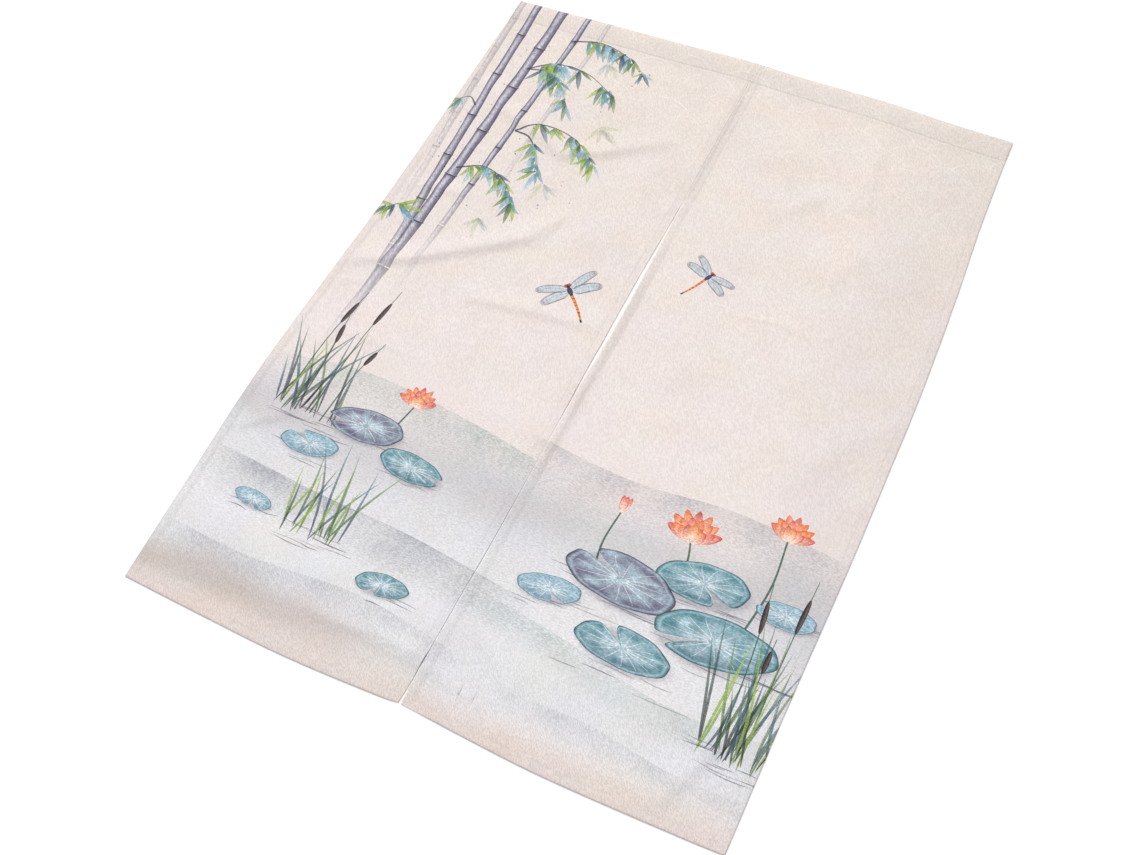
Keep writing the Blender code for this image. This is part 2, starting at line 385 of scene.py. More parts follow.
CREAM = rgb("E9DFD8")
CREAM_LOW = rgb("ECE2E0")
SHALLOWS = rgb("D0CED2")
MIST = rgb("E1E1E5")
MIST_LIGHT = rgb("E9E8EB")
CLAY = rgb("CBC1BD")
PEACH = rgb("E6E0DE")
HEM_TINT = rgb("E1D5D1")
WASH_GREEN = rgb("A9B7B5")
WASH_GREY = rgb("A7A9B1")
CLOTH_BACK = rgb("ECE8E3")
UMBER = rgb("6E5648")
INK = rgb("211D2E")
INDIGO = rgb("3D3A5A")
VIOLET = rgb("716B84")
PALE_VIOLET = rgb("C9C5D0")
TEAL = rgb("4E8791")
BLUE_GREY = rgb("84ABBD")
PALE_BLUE = rgb("B4CED9")
OLIVE = rgb("7E9A38")
LIME = rgb("A8C24C")
DEEP_GREEN = rgb("3F6248")
ORANGE = rgb("E56E14")
AMBER = rgb("F2B35C")
CORAL = rgb("D2503C")
BLUSH = rgb("F6DACB")

# Soft patches of tint over the whole ground: colour, size in mm, seed
PATCHES = (
    (np.array([1.0, 0.985, 0.955]), 46, 43), (np.array([0.985, 0.98, 1.0]), 62, 44),
    (np.array([0.985, 1.0, 0.99]), 54, 45), (np.array([1.0, 0.98, 0.975]), 38, 46),
)

SHALLOWS_TOP = 392.0
MIST_TOP = 310.0
LOW_TOP_LEFT, LOW_TOP_RIGHT = 104.0, 66.0  # where the clay and peach along the bottom begin
RIGHT_SHADE = 0.94  # of the ground towards the right edge
SPECKS = 46  # of ink among the bamboo
VEINS = 15  # of a floating leaf

Shape = namedtuple("Shape", "outline local paint guides")


def smooth_line(points, step=2.5):
    """Points about step apart on a smooth curve through the given ones."""
    points = np.array(points, float)
    gaps = np.hypot(*np.diff(points, axis=0).T)
    places = np.concatenate([[0], np.cumsum(gaps)])
    count = max(int(places[-1] / step), 4) + 1
    spots = np.linspace(0, places[-1], count)
    return np.stack([follow(tuple(zip(places, column)), spots) for column in points.T], axis=1)


def ribbon(line, half_width, paint, rails=()):
    """A stroke along a line. half_width is a function of the share along it, and paint is one of that share
    and the share across, from -1 to 1. Each rail is a share across that the mesh follows too."""
    line = np.array(line, float)
    steps = np.diff(line, axis=0)
    places = np.concatenate([[0], np.cumsum(np.hypot(*steps.T))])
    shares = places / places[-1]
    tangent = np.gradient(line, axis=0)
    tangent /= np.maximum(np.hypot(*tangent.T), 1e-9)[:, None]
    normal = np.stack([-tangent[:, 1], tangent[:, 0]], axis=1)
    half = np.maximum(half_width(shares), 0.06)

    def side(share):
        return line + normal * (half * share)[:, None]

    def local(points):
        best = np.full(len(points), np.inf)
        along = np.zeros(len(points))
        across = np.zeros(len(points))
        for i, step in enumerate(steps):
            length = max(np.hypot(*step), 1e-9)
            away = points - line[i]
            t = np.clip(away @ step / length ** 2, 0, 1)
            near = away - t[:, None] * step
            distance = np.hypot(*near.T)
            closer = distance < best
            best = np.where(closer, distance, best)
            along = np.where(closer, mix(shares[i], shares[i + 1], t), along)
            sign = np.sign(step[0] * near[:, 1] - step[1] * near[:, 0])
            across = np.where(closer, distance * sign, across)
        return along, np.clip(across / np.maximum(half_width(along), 0.06), -1, 1)

    outline = np.concatenate([side(1), side(-1)[::-1]])
    return Shape(outline, local, paint, [side(rail) for rail in rails])


def turned(points, angle):
    """Plan points turned about the origin."""
    cos, sin = math.cos(angle), math.sin(angle)
    return points @ np.array([[cos, sin], [-sin, cos]])


def swept(start, heading, forward, aside):
    """A line whose points lie this far forward and aside of its start, seen along its heading in radians."""
    return np.array(start) + turned(np.stack([forward, aside], axis=1), heading)


def even(angle):
    return np.ones(np.shape(angle))


def disc(centre, size, paint, turn=0.0, ripple=even, step=3.0, rings=()):
    """A round stroke. ripple is a function of the angle that gives the rim's share of the size, and paint
    is one of the angle and the share of the radius. Each ring is a share of the radius that is cut too."""
    centre, size = np.array(centre, float), np.array(size, float)
    count = max(int(2 * math.pi * size.max() / step), 8)
    angles = np.arange(count) * 2 * math.pi / count
    rim = np.stack([np.cos(angles), np.sin(angles)], axis=1) * ripple(angles)[:, None]

    def local(points):
        flat = turned(points - centre, -turn) / size
        angle = np.arctan2(flat[:, 1], flat[:, 0])
        return angle, np.hypot(*flat.T) / ripple(angle)

    def loop(share):
        ring = turned(rim * share * size, turn) + centre
        return np.concatenate([ring, ring[:1]])

    return Shape(loop(1)[:-1], local, paint, [loop(ring) for ring in rings])


def plain(colour, alpha=1.0):
    def paint(u, v):
        return np.broadcast_to(colour, (len(u), 3)), np.full(len(u), alpha)
    return paint


def blend(low, high, share):
    return low + (high - low) * np.clip(share, 0, 1)[..., None]


def taper(start, end):
    """A half width that changes evenly along a stroke."""
    return lambda share: mix(start, end, share)


def swelling(ends, more):
    """A half width that is largest in the middle of a stroke."""
    return lambda share: ends + more * np.sin(math.pi * share)


def stroke(points, half_width, colour, alpha, step=2.5):
    """A plain line of ink on a smooth curve."""
    return ribbon(smooth_line(points, step), half_width, plain(colour, alpha))


def blade(start, heading, length, width, bend, inks, alpha):
    """A pointed leaf: its stalk end, heading in radians, length, width and sideways bend."""
    shares = np.linspace(0, 1, max(int(length / 3.0), 5) + 1)
    line = swept(start, heading, shares * length, bend * length * shares ** 2)

    def half_width(share):
        return width / 2 * np.sin(math.pi * np.clip(share, 0, 1) ** 0.72) ** 0.8

    def paint(u, v):
        colour = blend(*inks, u * 0.9 + 0.18 * v)
        return colour, alpha * (0.82 + 0.18 * np.abs(v)) * (1 - 0.35 * u ** 2)

    return ribbon(line, half_width, paint)


LEAF_INKS = (
    (TEAL, BLUE_GREY), (BLUE_GREY, PALE_BLUE), (OLIVE, LIME),
    (DEEP_GREEN, OLIVE), (INDIGO, TEAL), (OLIVE, LIME),
)
REED_INKS = ((DEEP_GREEN, OLIVE), (INDIGO, TEAL), (OLIVE, LIME), (INK, DEEP_GREEN))


def spray(foot, heading, count, length, dice, strength=1.0):
    """A cluster of leaves that fan out from the end of a twig."""
    leaves = []
    for i in range(count):
        fan = (i - (count - 1) / 2) * 0.42 + dice.uniform(-0.16, 0.16)
        inks = LEAF_INKS[dice.integers(len(LEAF_INKS))]
        size = length * dice.uniform(0.72, 1.1) * (1 - 0.25 * abs(fan))
        start = foot + dice.uniform(-3, 3, 2)
        bend = dice.uniform(-0.12, 0.12) + 0.1 * math.sin(fan)
        alpha = strength * dice.uniform(0.8, 1.0)
        leaves.append(blade(start, heading + fan, size, size * 0.19, bend, inks, alpha))
    return leaves


def culm(points, width, joints, fade_from, strength, dice):
    """A bamboo stem, drawn joint by joint from the top, that melts away from fade_from of its length on."""
    line = smooth_line(points, 6.0)
    last = len(line) - 1
    cuts = np.linspace(0, last, joints + 1).round().astype(int)

    def half_width(share):
        return width / 2 * (0.9 + 0.14 * np.abs(2 * share - 1) ** 2.5)

    shapes = []
    for k, (a, b) in enumerate(zip(cuts, cuts[1:])):
        piece = line[a:b + 1].copy()
        piece[0] = mix(piece[0], piece[1], 0.22)
        piece[-1] = mix(piece[-1], piece[-2], 0.12)

        def paint(u, v, low=a / last, high=b / last, seed=int(dice.integers(1000))):
            light = np.exp(-((v + 0.25) / 0.42) ** 2)
            colour = blend(VIOLET, PALE_VIOLET, light + 0.15 * mottle(v * 6, u * 2, 1, seed))
            shadow = 0.85 * np.maximum(np.abs(v + 0.08) - 0.5, 0) / 0.5 + 0.6 * np.maximum(0.1 - u, 0) / 0.1
            fade = 1 - ease((mix(low, high, u) - fade_from) / (1 - fade_from))
            return blend(colour, INDIGO, shadow), 0.95 * strength * fade

        shapes.append(ribbon(piece, half_width, paint, rails=(-0.7, -0.35, 0.0, 0.4, 0.75)))
        if k and a / last < fade_from + 0.4 * (1 - fade_from):
            across = line[a + 1] - line[a - 1]
            across = np.array([-across[1], across[0]]) / np.hypot(*across) * width * 0.6
            ends = [line[a] - across, line[a] - (0, 0.06 * width), line[a] + across]
            shapes.append(stroke(ends, swelling(0.6, 0.9), INK, 0.9 * strength))
    return shapes


def lily_pad(x, y, size, squash, turn, tint, dice):
    """A round floating leaf, slit to its stalk, with a dark rim, pale veins and a shadow, seen at a slant."""
    seed = int(dice.integers(1000))
    phases = dice.uniform(0, 2 * math.pi, 3)

    def ripple(angle):
        wave = 0.025 * np.sin(3 * angle + phases[0]) + 0.014 * np.sin(8 * angle + phases[1])
        from_slit = np.abs(np.angle(np.exp(1j * (angle - phases[2]))))
        return (1 + wave) * (1 - 0.84 * np.exp(-(from_slit / 0.13) ** 2))

    def paint(angle, share):
        flat_x, flat_y = share * np.cos(angle) * size, share * np.sin(angle) * size
        cloud = mottle(flat_x, flat_y, size * 0.2, seed)
        colour = blend(PALE_BLUE, tint, 0.15 + 0.8 * share ** 1.3 + 0.3 * cloud)
        near_side = np.maximum(-np.sin(angle), 0)
        colour = blend(colour, INDIGO, 0.5 * near_side * share ** 2 * (1 - ease((share - 0.86) / 0.06)))
        colour = blend(colour, PALE_BLUE, 0.5 * hump((share - 0.91) / 0.06))
        colour = blend(colour, INK, 0.85 * ease((share - 0.94) / 0.06))
        return colour, 0.84 + 0.14 * share

    def shadow(angle, share):
        return np.broadcast_to(INDIGO, (len(angle), 3)), 0.34 * (1 - ease((share - 0.75) / 0.25))

    under = (x + 0.05 * size, y - 0.2 * size * squash)
    oval = np.array([size, size * squash])
    shapes = [disc(under, 1.12 * oval, shadow, turn, rings=(0.75, 0.9))]
    shapes.append(disc((x, y), oval, paint, turn, ripple, rings=(0.25, 0.5, 0.72, 0.86, 0.91, 0.955)))
    reach = np.linspace(0.1, 0.84, 8)
    for k in range(VEINS):
        angle = phases[2] + (k + 0.5) * 2 * math.pi / VEINS + dice.uniform(-0.06, 0.06)
        angle = angle + 0.07 * np.sin(reach * 3)
        vein = np.stack([reach * np.cos(angle), reach * np.sin(angle)], axis=1) * oval
        shapes.append(ribbon(turned(vein, turn) + (x, y), taper(0.75, 0.25), plain(MIST_LIGHT, 0.55)))
    return shapes


def ripples(x, y, reach, count, dice):
    """Thin level strokes of ink on the water."""
    shapes = []
    for _ in range(count):
        left, height = x + reach * dice.uniform(-1, 0.3), y + 0.24 * reach * dice.uniform(-1, 1)
        width = reach * dice.uniform(0.35, 0.9)
        rise = dice.uniform(-2, 2, 2)
        route = [(left, height), (left + width / 2, height + rise[0]), (left + width, height + rise[1])]
        shapes.append(stroke(route, swelling(0.2, 0.6), INDIGO, dice.uniform(0.3, 0.7), 5.0))
    return shapes


def cattail(x, y, height, lean):
    """A tall reed with a dark seed head near its top."""
    bend, tip = (x + 0.3 * lean * height, y + 0.55 * height), (x + lean * height, y + height)
    line = smooth_line([(x, y), bend, tip])
    head = line[int(0.7 * len(line)):int(0.9 * len(line))]

    def half_width(share):
        return 3.6 * np.sin(math.pi * np.clip(share, 0.01, 0.99)) ** 0.35

    def paint(u, v):
        return blend(INK, UMBER, 0.9 * np.exp(-((v + 0.3) / 0.45) ** 2)), np.full(len(u), 0.97)

    stem = ribbon(line, taper(1.2, 0.5), plain(DEEP_GREEN, 0.92))
    return [stem, ribbon(head, half_width, paint, rails=(-0.6, 0.1, 0.6))]


def reeds(x, y, spread, count, lengths, dice):
    """A tuft of narrow leaves that rise from the water."""
    shapes = []
    for _ in range(count):
        inks = REED_INKS[dice.integers(len(REED_INKS))]
        heading = math.pi / 2 + dice.uniform(-0.34, 0.32)
        foot = (x + spread * dice.uniform(-1, 1), y + dice.uniform(-8, 8))
        bend = dice.uniform(-0.22, 0.22)
        shapes.append(blade(foot, heading, dice.uniform(*lengths), 3.6, bend, inks, 0.88))
    return shapes + ripples(x, y - 6, spread * 1.5, 9, dice)


def petal(base, heading, length, width, bend, tip, dice):
    """One petal of a water lily: pale at its foot, coloured at its tip, with a fine ink rim."""
    shares = np.linspace(0, 1, 13)
    line = swept(base, heading, shares * length, bend * length * np.sin(math.pi * shares / 2))
    seed = int(dice.integers(1000))

    def half_width(share):
        return width / 2 * np.sin(math.pi * np.clip(share, 0, 1) ** 0.9) ** 0.62

    def paint(u, v):
        streak = 0.14 * mottle(v * 5, u, 1, seed)
        colour = blend(BLUSH, tip, u ** 1.6 * 1.05 + streak + 0.25 * np.abs(v) ** 3)
        colour = blend(colour, CORAL, 0.6 * ease((np.abs(v) - 0.8) / 0.2) * ease(u * 2))
        return colour, np.full(len(u), 0.95)

    return ribbon(line, half_width, paint, rails=(-0.75, -0.3, 0.3, 0.75))


LILY_ROWS = ((1.0, 7, 2.5), (0.85, 6, 2.1), (0.62, 5, 1.5))  # columns: petals' reach, number, spread
LILY_THREADS = 9


def water_lily(x, y, size, lean, dice):
    """An open flower on the water, drawn from its far petals to its near ones."""
    shapes = []
    for row, (reach, count, spread) in enumerate(LILY_ROWS):
        for i in sorted(range(count), key=lambda i: -abs(i - (count - 1) / 2)):
            fan = (i / (count - 1) - 0.5) * spread
            length = size * reach * (1 - 0.12 * abs(fan)) * dice.uniform(0.93, 1.05)
            tip = ORANGE if (i + row) % 3 else CORAL
            foot = (x + 3 * math.sin(fan), y - row * size * 0.04)
            heading = math.pi / 2 + lean - fan
            shapes.append(petal(foot, heading, length, size * 0.34, 0.1 * math.sin(fan), tip, dice))
    for i in range(LILY_THREADS):
        fan = (i / (LILY_THREADS - 1) - 0.5) * 1.2
        tip = (x + size * 0.3 * math.sin(fan), y + size * (0.26 + 0.05 * math.cos(i * 2.1)) * math.cos(fan))
        shapes.append(disc(tip, (1.1, 1.5), plain(AMBER, 0.95), step=1.2))
    return shapes


WINGS = ((0.34, 0.66, 0.19, 0.26), (-0.12, 0.62, 0.22, 0.18))  # columns: angle, length, width, foot's height
DRAGONFLY_HEAD = (  # columns: middle, half size, colour, step
    ((0, 0.22), (0.055, 0.11), INDIGO, 1.5), ((0, 0.36), (0.06, 0.045), INK, 1.2),
    ((-0.045, 0.38), (0.03, 0.035), CORAL, 1.0), ((0.045, 0.38), (0.03, 0.035), CORAL, 1.0),
)


def dragonfly(x, y, size, turn):
    """A dragonfly with spread wings; size is its length from head to tail."""
    shapes = []

    def put(points):
        return turned(np.array(points, float) * size, turn) + (x, y)

    def wing(angle, length, width, foot):
        side = math.copysign(1, math.cos(angle))
        shares = np.linspace(0, 1, 12)

        def half_width(share):
            blunt = (1 - 0.9 * np.clip(share, 0, 1) ** 6) ** 0.5
            return width * size / 2 * np.clip(share * 5, 0, 1) ** 0.6 * blunt

        def paint(u, v):
            colour = blend(PALE_BLUE, BLUE_GREY, 0.4 + 0.5 * u)
            edge = ease((np.abs(v) - 0.72) / 0.2)
            spot = ease((u - 0.84) / 0.03) * (1 - ease((u - 0.93) / 0.02))
            return blend(colour, INDIGO, np.maximum(edge, spot)), 0.5 + 0.4 * edge

        line = swept(foot, angle, shares * length, side * 0.04 * np.sin(math.pi * shares))
        shapes.append(ribbon(put(line), half_width, paint, rails=(-0.72, 0.0, 0.72)))
        for vein in (-0.35, 0.3):
            aside = side * vein * width * np.sin(math.pi * shares)
            line = swept(foot, angle, shares * length * 0.92, aside)
            shapes.append(ribbon(put(line), taper(0.3, 0.3), plain(VIOLET, 0.6)))

    for angle, length, width, height in WINGS:
        wing(math.pi - angle, length, width, (-0.03, height))
        wing(angle, length, width, (0.03, height))

    def tail_paint(u, v):
        ticks = (np.sin(u * 8 * 2 * math.pi) > 0.75) | (u > 0.9)
        colour = blend(AMBER, ORANGE, 0.5 + 0.5 * np.abs(v))
        return np.where(ticks[:, None], INK, colour), np.full(len(u), 0.97)

    tail = smooth_line(put([(0, 0.14), (0.01, -0.1), (0.0, -0.36), (-0.03, -0.6)]), 1.2)
    shapes.append(ribbon(tail, taper(0.034 * size, 0.02 * size), tail_paint, rails=(0.0,)))
    for middle, half, colour, step in DRAGONFLY_HEAD:
        shapes.append(disc(put(middle), np.array(half) * size, plain(colour, 0.97), turn, step=step))
    return shapes


def wash(depth, colour, strength, points):
    """A band of thin colour with a crisp upper edge that fades away below it."""
    edge = smooth_line(points, 8.0)
    seed = int(abs(points[0][1]))

    def local(spots):
        below = np.interp(spots[:, 0], edge[:, 0], edge[:, 1]) - spots[:, 1]
        return spots[:, 0], below / depth

    def paint(x, share):
        ends = ease((x - edge[0, 0]) / 90) * ease((edge[-1, 0] - x) / 90)
        cloud = 0.8 + 0.3 * mottle(x, share * depth, 40, seed)
        return np.broadcast_to(colour, (len(x), 3)), strength * ends * cloud * (1 - ease(share))

    outline = np.concatenate([edge, (edge - np.array([0, depth]))[::-1]])
    return Shape(outline, local, paint, [])


def ground(x, y):
    """The cloth's own printed ground: cream above, cool shallows and mist in the lower third, then peach,
    with painted shade towards the right edge.
    """
    shift = 16 * mottle(x, y, 120, 41)
    colour = blend(CREAM, CREAM_LOW, (1150 - y) / 700)
    colour = blend(colour, SHALLOWS, ease((SHALLOWS_TOP + shift - y) / 80))
    colour = blend(colour, MIST, ease((MIST_TOP + shift - y) / 90))
    colour = blend(colour, MIST_LIGHT, 0.8 * ease((250 - y) / 120) * ease((y - 90) / 60))
    low = blend(HEM_TINT, blend(CLAY, PEACH, ease((x - 120) / 420)), ease((y - 8) / 34))
    low_top = mix(LOW_TOP_LEFT, LOW_TOP_RIGHT, ease((x - 60) / 560)) + 0.6 * shift
    colour = blend(colour, low, ease((low_top - y) / 60))
    # painted shade on the ground towards the right edge
    colour = colour * mix(1.0, RIGHT_SHADE, ease((x - 660) / 150) * ease((y - 30) / 110))[..., None]
    for tint, size, seed in PATCHES:
        colour = colour * mix(1.0, tint, np.clip(0.5 + 0.5 * mottle(x, y, size, seed), 0, 1.2)[..., None])
    return colour


def bamboo(dice):
    """Bamboo stems at the left, with twigs that arch to the right and hang with leaves."""
    shapes = []
    stems = (  # columns: route, width, joints, where it starts to fade, strength
        (((168, 1290), (163, 1120), (155, 950), (150, 800), (147, 660)), 9, 8, 0.45, 0.35),
        (((2, 1290), (6, 1120), (14, 930), (24, 740), (32, 600)), 12, 9, 0.5, 0.4),
        (((128, 1290), (125, 1130), (117, 930), (106, 720), (96, 520)), 11, 9, 0.55, 1.0),
        (((30, 1290), (34, 1120), (42, 900), (52, 670), (62, 440)), 15, 9, 0.6, 1.0),
        (((80, 1290), (78, 1110), (73, 880), (64, 640), (48, 380)), 19, 9, 0.62, 1.0),
    )
    for stem in stems:
        shapes += culm(*stem, dice)
    faint = ((200, 1095, -1.2, 46), (250, 960, -0.9, 52), (214, 820, -1.1, 46), (150, 720, -1.3, 42))
    for *foot, heading, length in faint:
        shapes += spray(foot, heading, 5, length, dice, 0.35)
    twigs = (
        [(79, 1035), (120, 1062), (178, 1060), (236, 1030)],
        [(79, 1035), (116, 1040), (150, 1018), (176, 982)],
        [(122, 905), (160, 930), (215, 925), (268, 888)],
        [(122, 905), (150, 900), (178, 868), (190, 838)],
        [(70, 800), (110, 818), (150, 806), (186, 768)],
        [(37, 930), (20, 944), (6, 934)],
        [(124, 1122), (170, 1134), (222, 1122), (262, 1096)],
        [(44, 690), (24, 700), (8, 688)],
    )
    for route in twigs:
        shapes.append(stroke(route, taper(1.6, 0.4), INDIGO, 0.9))
        line = smooth_line(route, 13)
        for k in range(2, len(line)):
            down = math.atan2(*(line[k] - line[k - 1])[::-1]) * 0.35 - 1.15
            if dice.uniform() < 0.75 or k == len(line) - 1:
                shapes += spray(line[k], down, int(dice.integers(3, 6)), dice.uniform(34, 50), dice)
    for _ in range(SPECKS):
        spot = dice.uniform(15, 285), dice.uniform(730, 1120)
        shapes.append(disc(spot, dice.uniform(0.7, 1.9, 2), plain(INDIGO, 0.7), step=1.2))
    return shapes


def afloat(pads, aside, dice):
    """Floating leaves with ripples under them, in columns: x, y, size, squash, turn, tint."""
    shapes = []
    for x, y, size, squash, turn, tint in pads:
        shapes += ripples(x + aside, y - 0.4 * size, size * 1.5, 6, dice)
        shapes += lily_pad(x, y, size, squash, turn, tint, dice)
    return shapes


def pond(dice):
    """Floating leaves and flowers at the lower right, with reeds beside them."""
    shapes = []
    stems = (
        [(668, 292), (668, 322), (660, 352)], [(768, 250), (780, 330), (776, 404)],
        [(566, 240), (556, 300), (560, 352)],
    )
    for route in stems:
        shapes.append(stroke(route, taper(1.7, 1.2), DEEP_GREEN, 0.92))
    shapes += afloat((
        (700, 300, 62, 0.46, 0.1, TEAL), (600, 262, 78, 0.44, -0.08, VIOLET),
        (742, 232, 82, 0.42, 0.06, TEAL), (520, 214, 44, 0.42, 0.12, BLUE_GREY),
        (640, 178, 66, 0.4, -0.05, TEAL), (812, 300, 40, 0.44, 0.0, BLUE_GREY),
    ), 10, dice)
    shapes += water_lily(660, 350, 46, 0.08, dice) + water_lily(776, 402, 38, -0.1, dice)
    for fan in (-0.22, 0.0, 0.2):
        shapes.append(petal((560, 350), math.pi / 2 + fan, 27, 9, 0.1 * fan, CORAL, dice))
    for x, height, lean in ((796, 236, -0.06), (826, 262, 0.03), (810, 168, 0.01)):
        shapes += cattail(x, 100, height, lean)
    return shapes + reeds(814, 100, 46, 30, (80, 190), dice)


def shore(dice):
    """Reeds, seed heads and floating leaves at the lower left."""
    shapes = []
    for row in ((44, 318, 214, 0.1), (70, 312, 172, -0.05), (92, 316, 236, 0.08), (112, 310, 150, 0.16)):
        shapes += cattail(*row)
    shapes += reeds(82, 312, 52, 24, (60, 170), dice)
    shapes.append(stroke([(214, 328), (217, 346), (226, 388)], taper(1.6, 1.1), DEEP_GREEN, 0.92))
    shapes += afloat((
        (178, 330, 58, 0.44, 0.05, VIOLET), (268, 296, 50, 0.42, -0.1, TEAL),
        (118, 274, 44, 0.42, 0.1, BLUE_GREY), (318, 128, 38, 0.42, 0.1, TEAL),
        (92, 168, 30, 0.42, -0.1, BLUE_GREY),
    ), 8, dice)
    shapes += water_lily(226, 386, 34, 0.05, dice)
    return shapes + reeds(190, 150, 46, 20, (50, 150), dice)


WASHES = (  # columns: depth, colour, strength, upper edge
    (80, WASH_GREEN, 0.55, ((-20, 388), (150, 408), (330, 392), (470, 366))),
    (84, WASH_GREY, 0.5, ((380, 414), (560, 400), (700, 412), (890, 396))),
    (80, WASH_GREY, 0.74, ((-20, 226), (160, 212), (330, 205), (530, 182))),
    (50, WASH_GREEN, 0.6, ((420, 178), (560, 160), (720, 132), (890, 140))),
    (56, WASH_GREY, 0.44, ((-20, 100), (120, 92), (300, 104), (480, 82))),
    (40, WASH_GREY, 0.3, ((500, 66), (640, 72), (760, 58), (890, 62))),
)


def the_print():
    """Every stroke of the print, in painting order."""
    dice = np.random.default_rng(7)
    shapes = [wash(*row) for row in WASHES] + bamboo(dice) + shore(dice) + pond(dice)
    return shapes + dragonfly(352, 640, 74, 0.75) + dragonfly(512, 742, 62, -0.5)


def inside(outline, points):
    """Which points lie inside a closed outline."""
    ax, ay = outline.T
    bx, by = np.roll(outline, -1, axis=0).T
    px, py = points[:, :1], points[:, 1:]
    spans = (ay > py) != (by > py)
    with np.errstate(divide="ignore", invalid="ignore"):
        crossing = ax + (py - ay) * (bx - ax) / (by - ay)
    return (spans & (px < crossing)).sum(axis=1) % 2 == 1


def paint_corners(shapes, corners):
    """The print's colour and amount of ink at each triangle's three corners."""
    colour = ground(corners[..., 0], corners[..., 1])
    ink = np.zeros(corners.shape[:2])
    middle = corners.mean(axis=1)
    for shape in shapes:
        low, high = shape.outline.min(axis=0), shape.outline.max(axis=0)
        near = np.flatnonzero(((middle >= low) & (middle <= high)).all(axis=1))
        near = near[inside(shape.outline, middle[near])] if len(near) else near
        if not len(near):
            continue
        u, v = shape.local(corners[near].reshape(-1, 2))
        layer, alpha = shape.paint(u, v)
        layer = layer.reshape(len(near), -1, 3)
        alpha = np.clip(alpha, 0, 1).reshape(len(near), -1)
        colour[near] = mix(colour[near], layer, alpha[..., None])
        ink[near] = np.maximum(ink[near], alpha)
    return colour, ink


# The cloth's mesh: the printed face cut along the strokes, the back, and a rounded rim between them

# Rows and columns of points beside an edge, and beside the pocket's stitch line
NEAR_EDGE = np.array([2.0, 3.8, 5.8, 8.0, 9.8, 10.7, 11.5, 12.3, 13.4, 14.8, 16.2, 18.0])
NEAR_LINE = np.array([-10, -7, -4.5, -3, -1.6, -0.8, 0, 0.8, 1.6, 3, 5])
RIM_LOOPS = ((0.28, 0.06), (0.55, 0.25), (RIM, 0.5), (0.55, 0.75), (0.28, 0.94))  # columns: outward, down
RIM_MAP = (0.0, 0.3, 0.6, 1.0, 0.6, 0.3, 0.0)  # how far out each loop lies on the map
MAP_SIZE = 1290.0  # the length of sheet that fills the map's height
MAP_MARGIN = 25.0
BACK_SHIFT = 480.0  # how far beside the face the back lies on the map
CUT_MARGIN = 0.8  # how far inside the outline the strokes' lines end
POINT_MARGIN = 1.2  # how far inside it the nearest points lie
CLEARANCE = 0.7  # between those points and the strokes' lines
SEAM_X = MEETING_LINE[-1][1]
RIM_SHADE = np.array([0.84, 0.83, 0.86])
RIM_SHADE_REACH = 2.4
# Painted light: the rims that face each other stand in the shade, and their colour is lightened by this share
SLIT_RIM_LIGHT = 1.2  # of the rims that face each other, which are in the shade
SHOW_THROUGH = 0.14  # how much of the print shows on the back
FULL_PAINTED_SHADE = np.array([0.55, 0.54, 0.6])  # the painted shade at its fullest, as a share of the cloth's colour
# Painted shade in bands and lines along the seam, and a painted highlight where below 0. Columns: place past
# the meeting line, half width, strength, strength near the top, and the height where it starts to change to
# that.
SEAM_SHADING = (
    (5, 7, 0.34, 0.12, 1070), (-0.4, 2.6, -0.26, -0.26, 0), (-3.8, 2.4, 0.14, 0.26, 1040),
    (3.8, 2.6, 0, 0.1, 1040), (14.8, 2.6, 0.22, 0.22, 0),
)


def painted_shade(panel, x, y):
    """How much painted shade darkens the face beside the hems, the seam and the pocket's line, where the
    cloth's steps,
    grooves and creases stand in shade: 1 is fully, and a place below 0 gets a painted highlight instead."""
    past_hem = edge_distance(panel, x, y) - HEM_LINE
    below_pocket = pocket_line(x) - y
    from_seam = x - follow(MEETING_LINE, y)
    body = ease(below_pocket / 4)
    # Painted shade over the hem bands and the pocket, along the pocket's stitch line, and on the step at each
    # hem's inner edge
    marks = 0.05 * body * (1 - ease(past_hem / 4)) + 0.05 * (1 - body) + 0.1 * hump((below_pocket + 1) / 3)
    marks = marks + 0.11 * body * hump((past_hem - 2.2) / 2.6) * (0.8 + 0.3 * mottle(x, y, 40, 51))
    # Painted shade in bands beside the seam, and a painted highlight along its edge
    for middle, reach, strength, near_top, height in SEAM_SHADING:
        along = ease((y - SLIT_TOP) / 50) * mix(strength, near_top, ease((y - height) / 50))
        marks = marks + along * hump((from_seam - middle) / reach)
    return marks


def edge_roundness(panel, number, s):
    """The roundness of a long edge, as a share of RIM, at lengths along the sheet."""
    at_seam = number == (1 if panel == "left" else 0)
    return mix(1.0, SEAM_RIM, ease((s - SLIT_TOP) / 30)) if at_seam else np.ones(len(s))


def sheet_outline(panel):
    """The flat sheet's outline inside its rounded rim: bottom, right, end and left, each in rising order."""

    def side(number, inward):
        corner = side_edges(panel, np.zeros(1))[number]
        top = side_edges(panel, np.array([LENGTH]))[number]
        low = bottom_edge(panel, corner)[0] + RIM
        bend = pocket_line(top)[0] + POCKET_FOLD
        high = sheet_end(top)[0] - RIM
        open_run = np.linspace(low, bend, int((bend - low) / EDGE_STEP))
        turn = np.linspace(bend, bend + POCKET_TURN, 9)[1:]
        back = np.linspace(bend + POCKET_TURN, high, 11)[1:]
        s = np.concatenate([open_run, turn, back])
        inset = inward * RIM * edge_roundness(panel, number, s)
        return np.stack([sheet_side_edges(panel, top, s)[number] + inset, s], axis=1)

    left, right = side(0, 1), side(1, -1)
    columns = int((right[0, 0] - left[0, 0]) / EDGE_STEP)
    x = np.linspace(left[0, 0], right[0, 0], columns)
    bottom = np.stack([x, bottom_edge(panel, x) + RIM], axis=1)
    x = np.linspace(left[-1, 0], right[-1, 0], columns)
    end = np.stack([x, sheet_end(x) - RIM], axis=1)
    left[0], right[0] = bottom[0], bottom[-1]
    left[-1], right[-1] = end[0], end[-1]
    return bottom, right, end, left


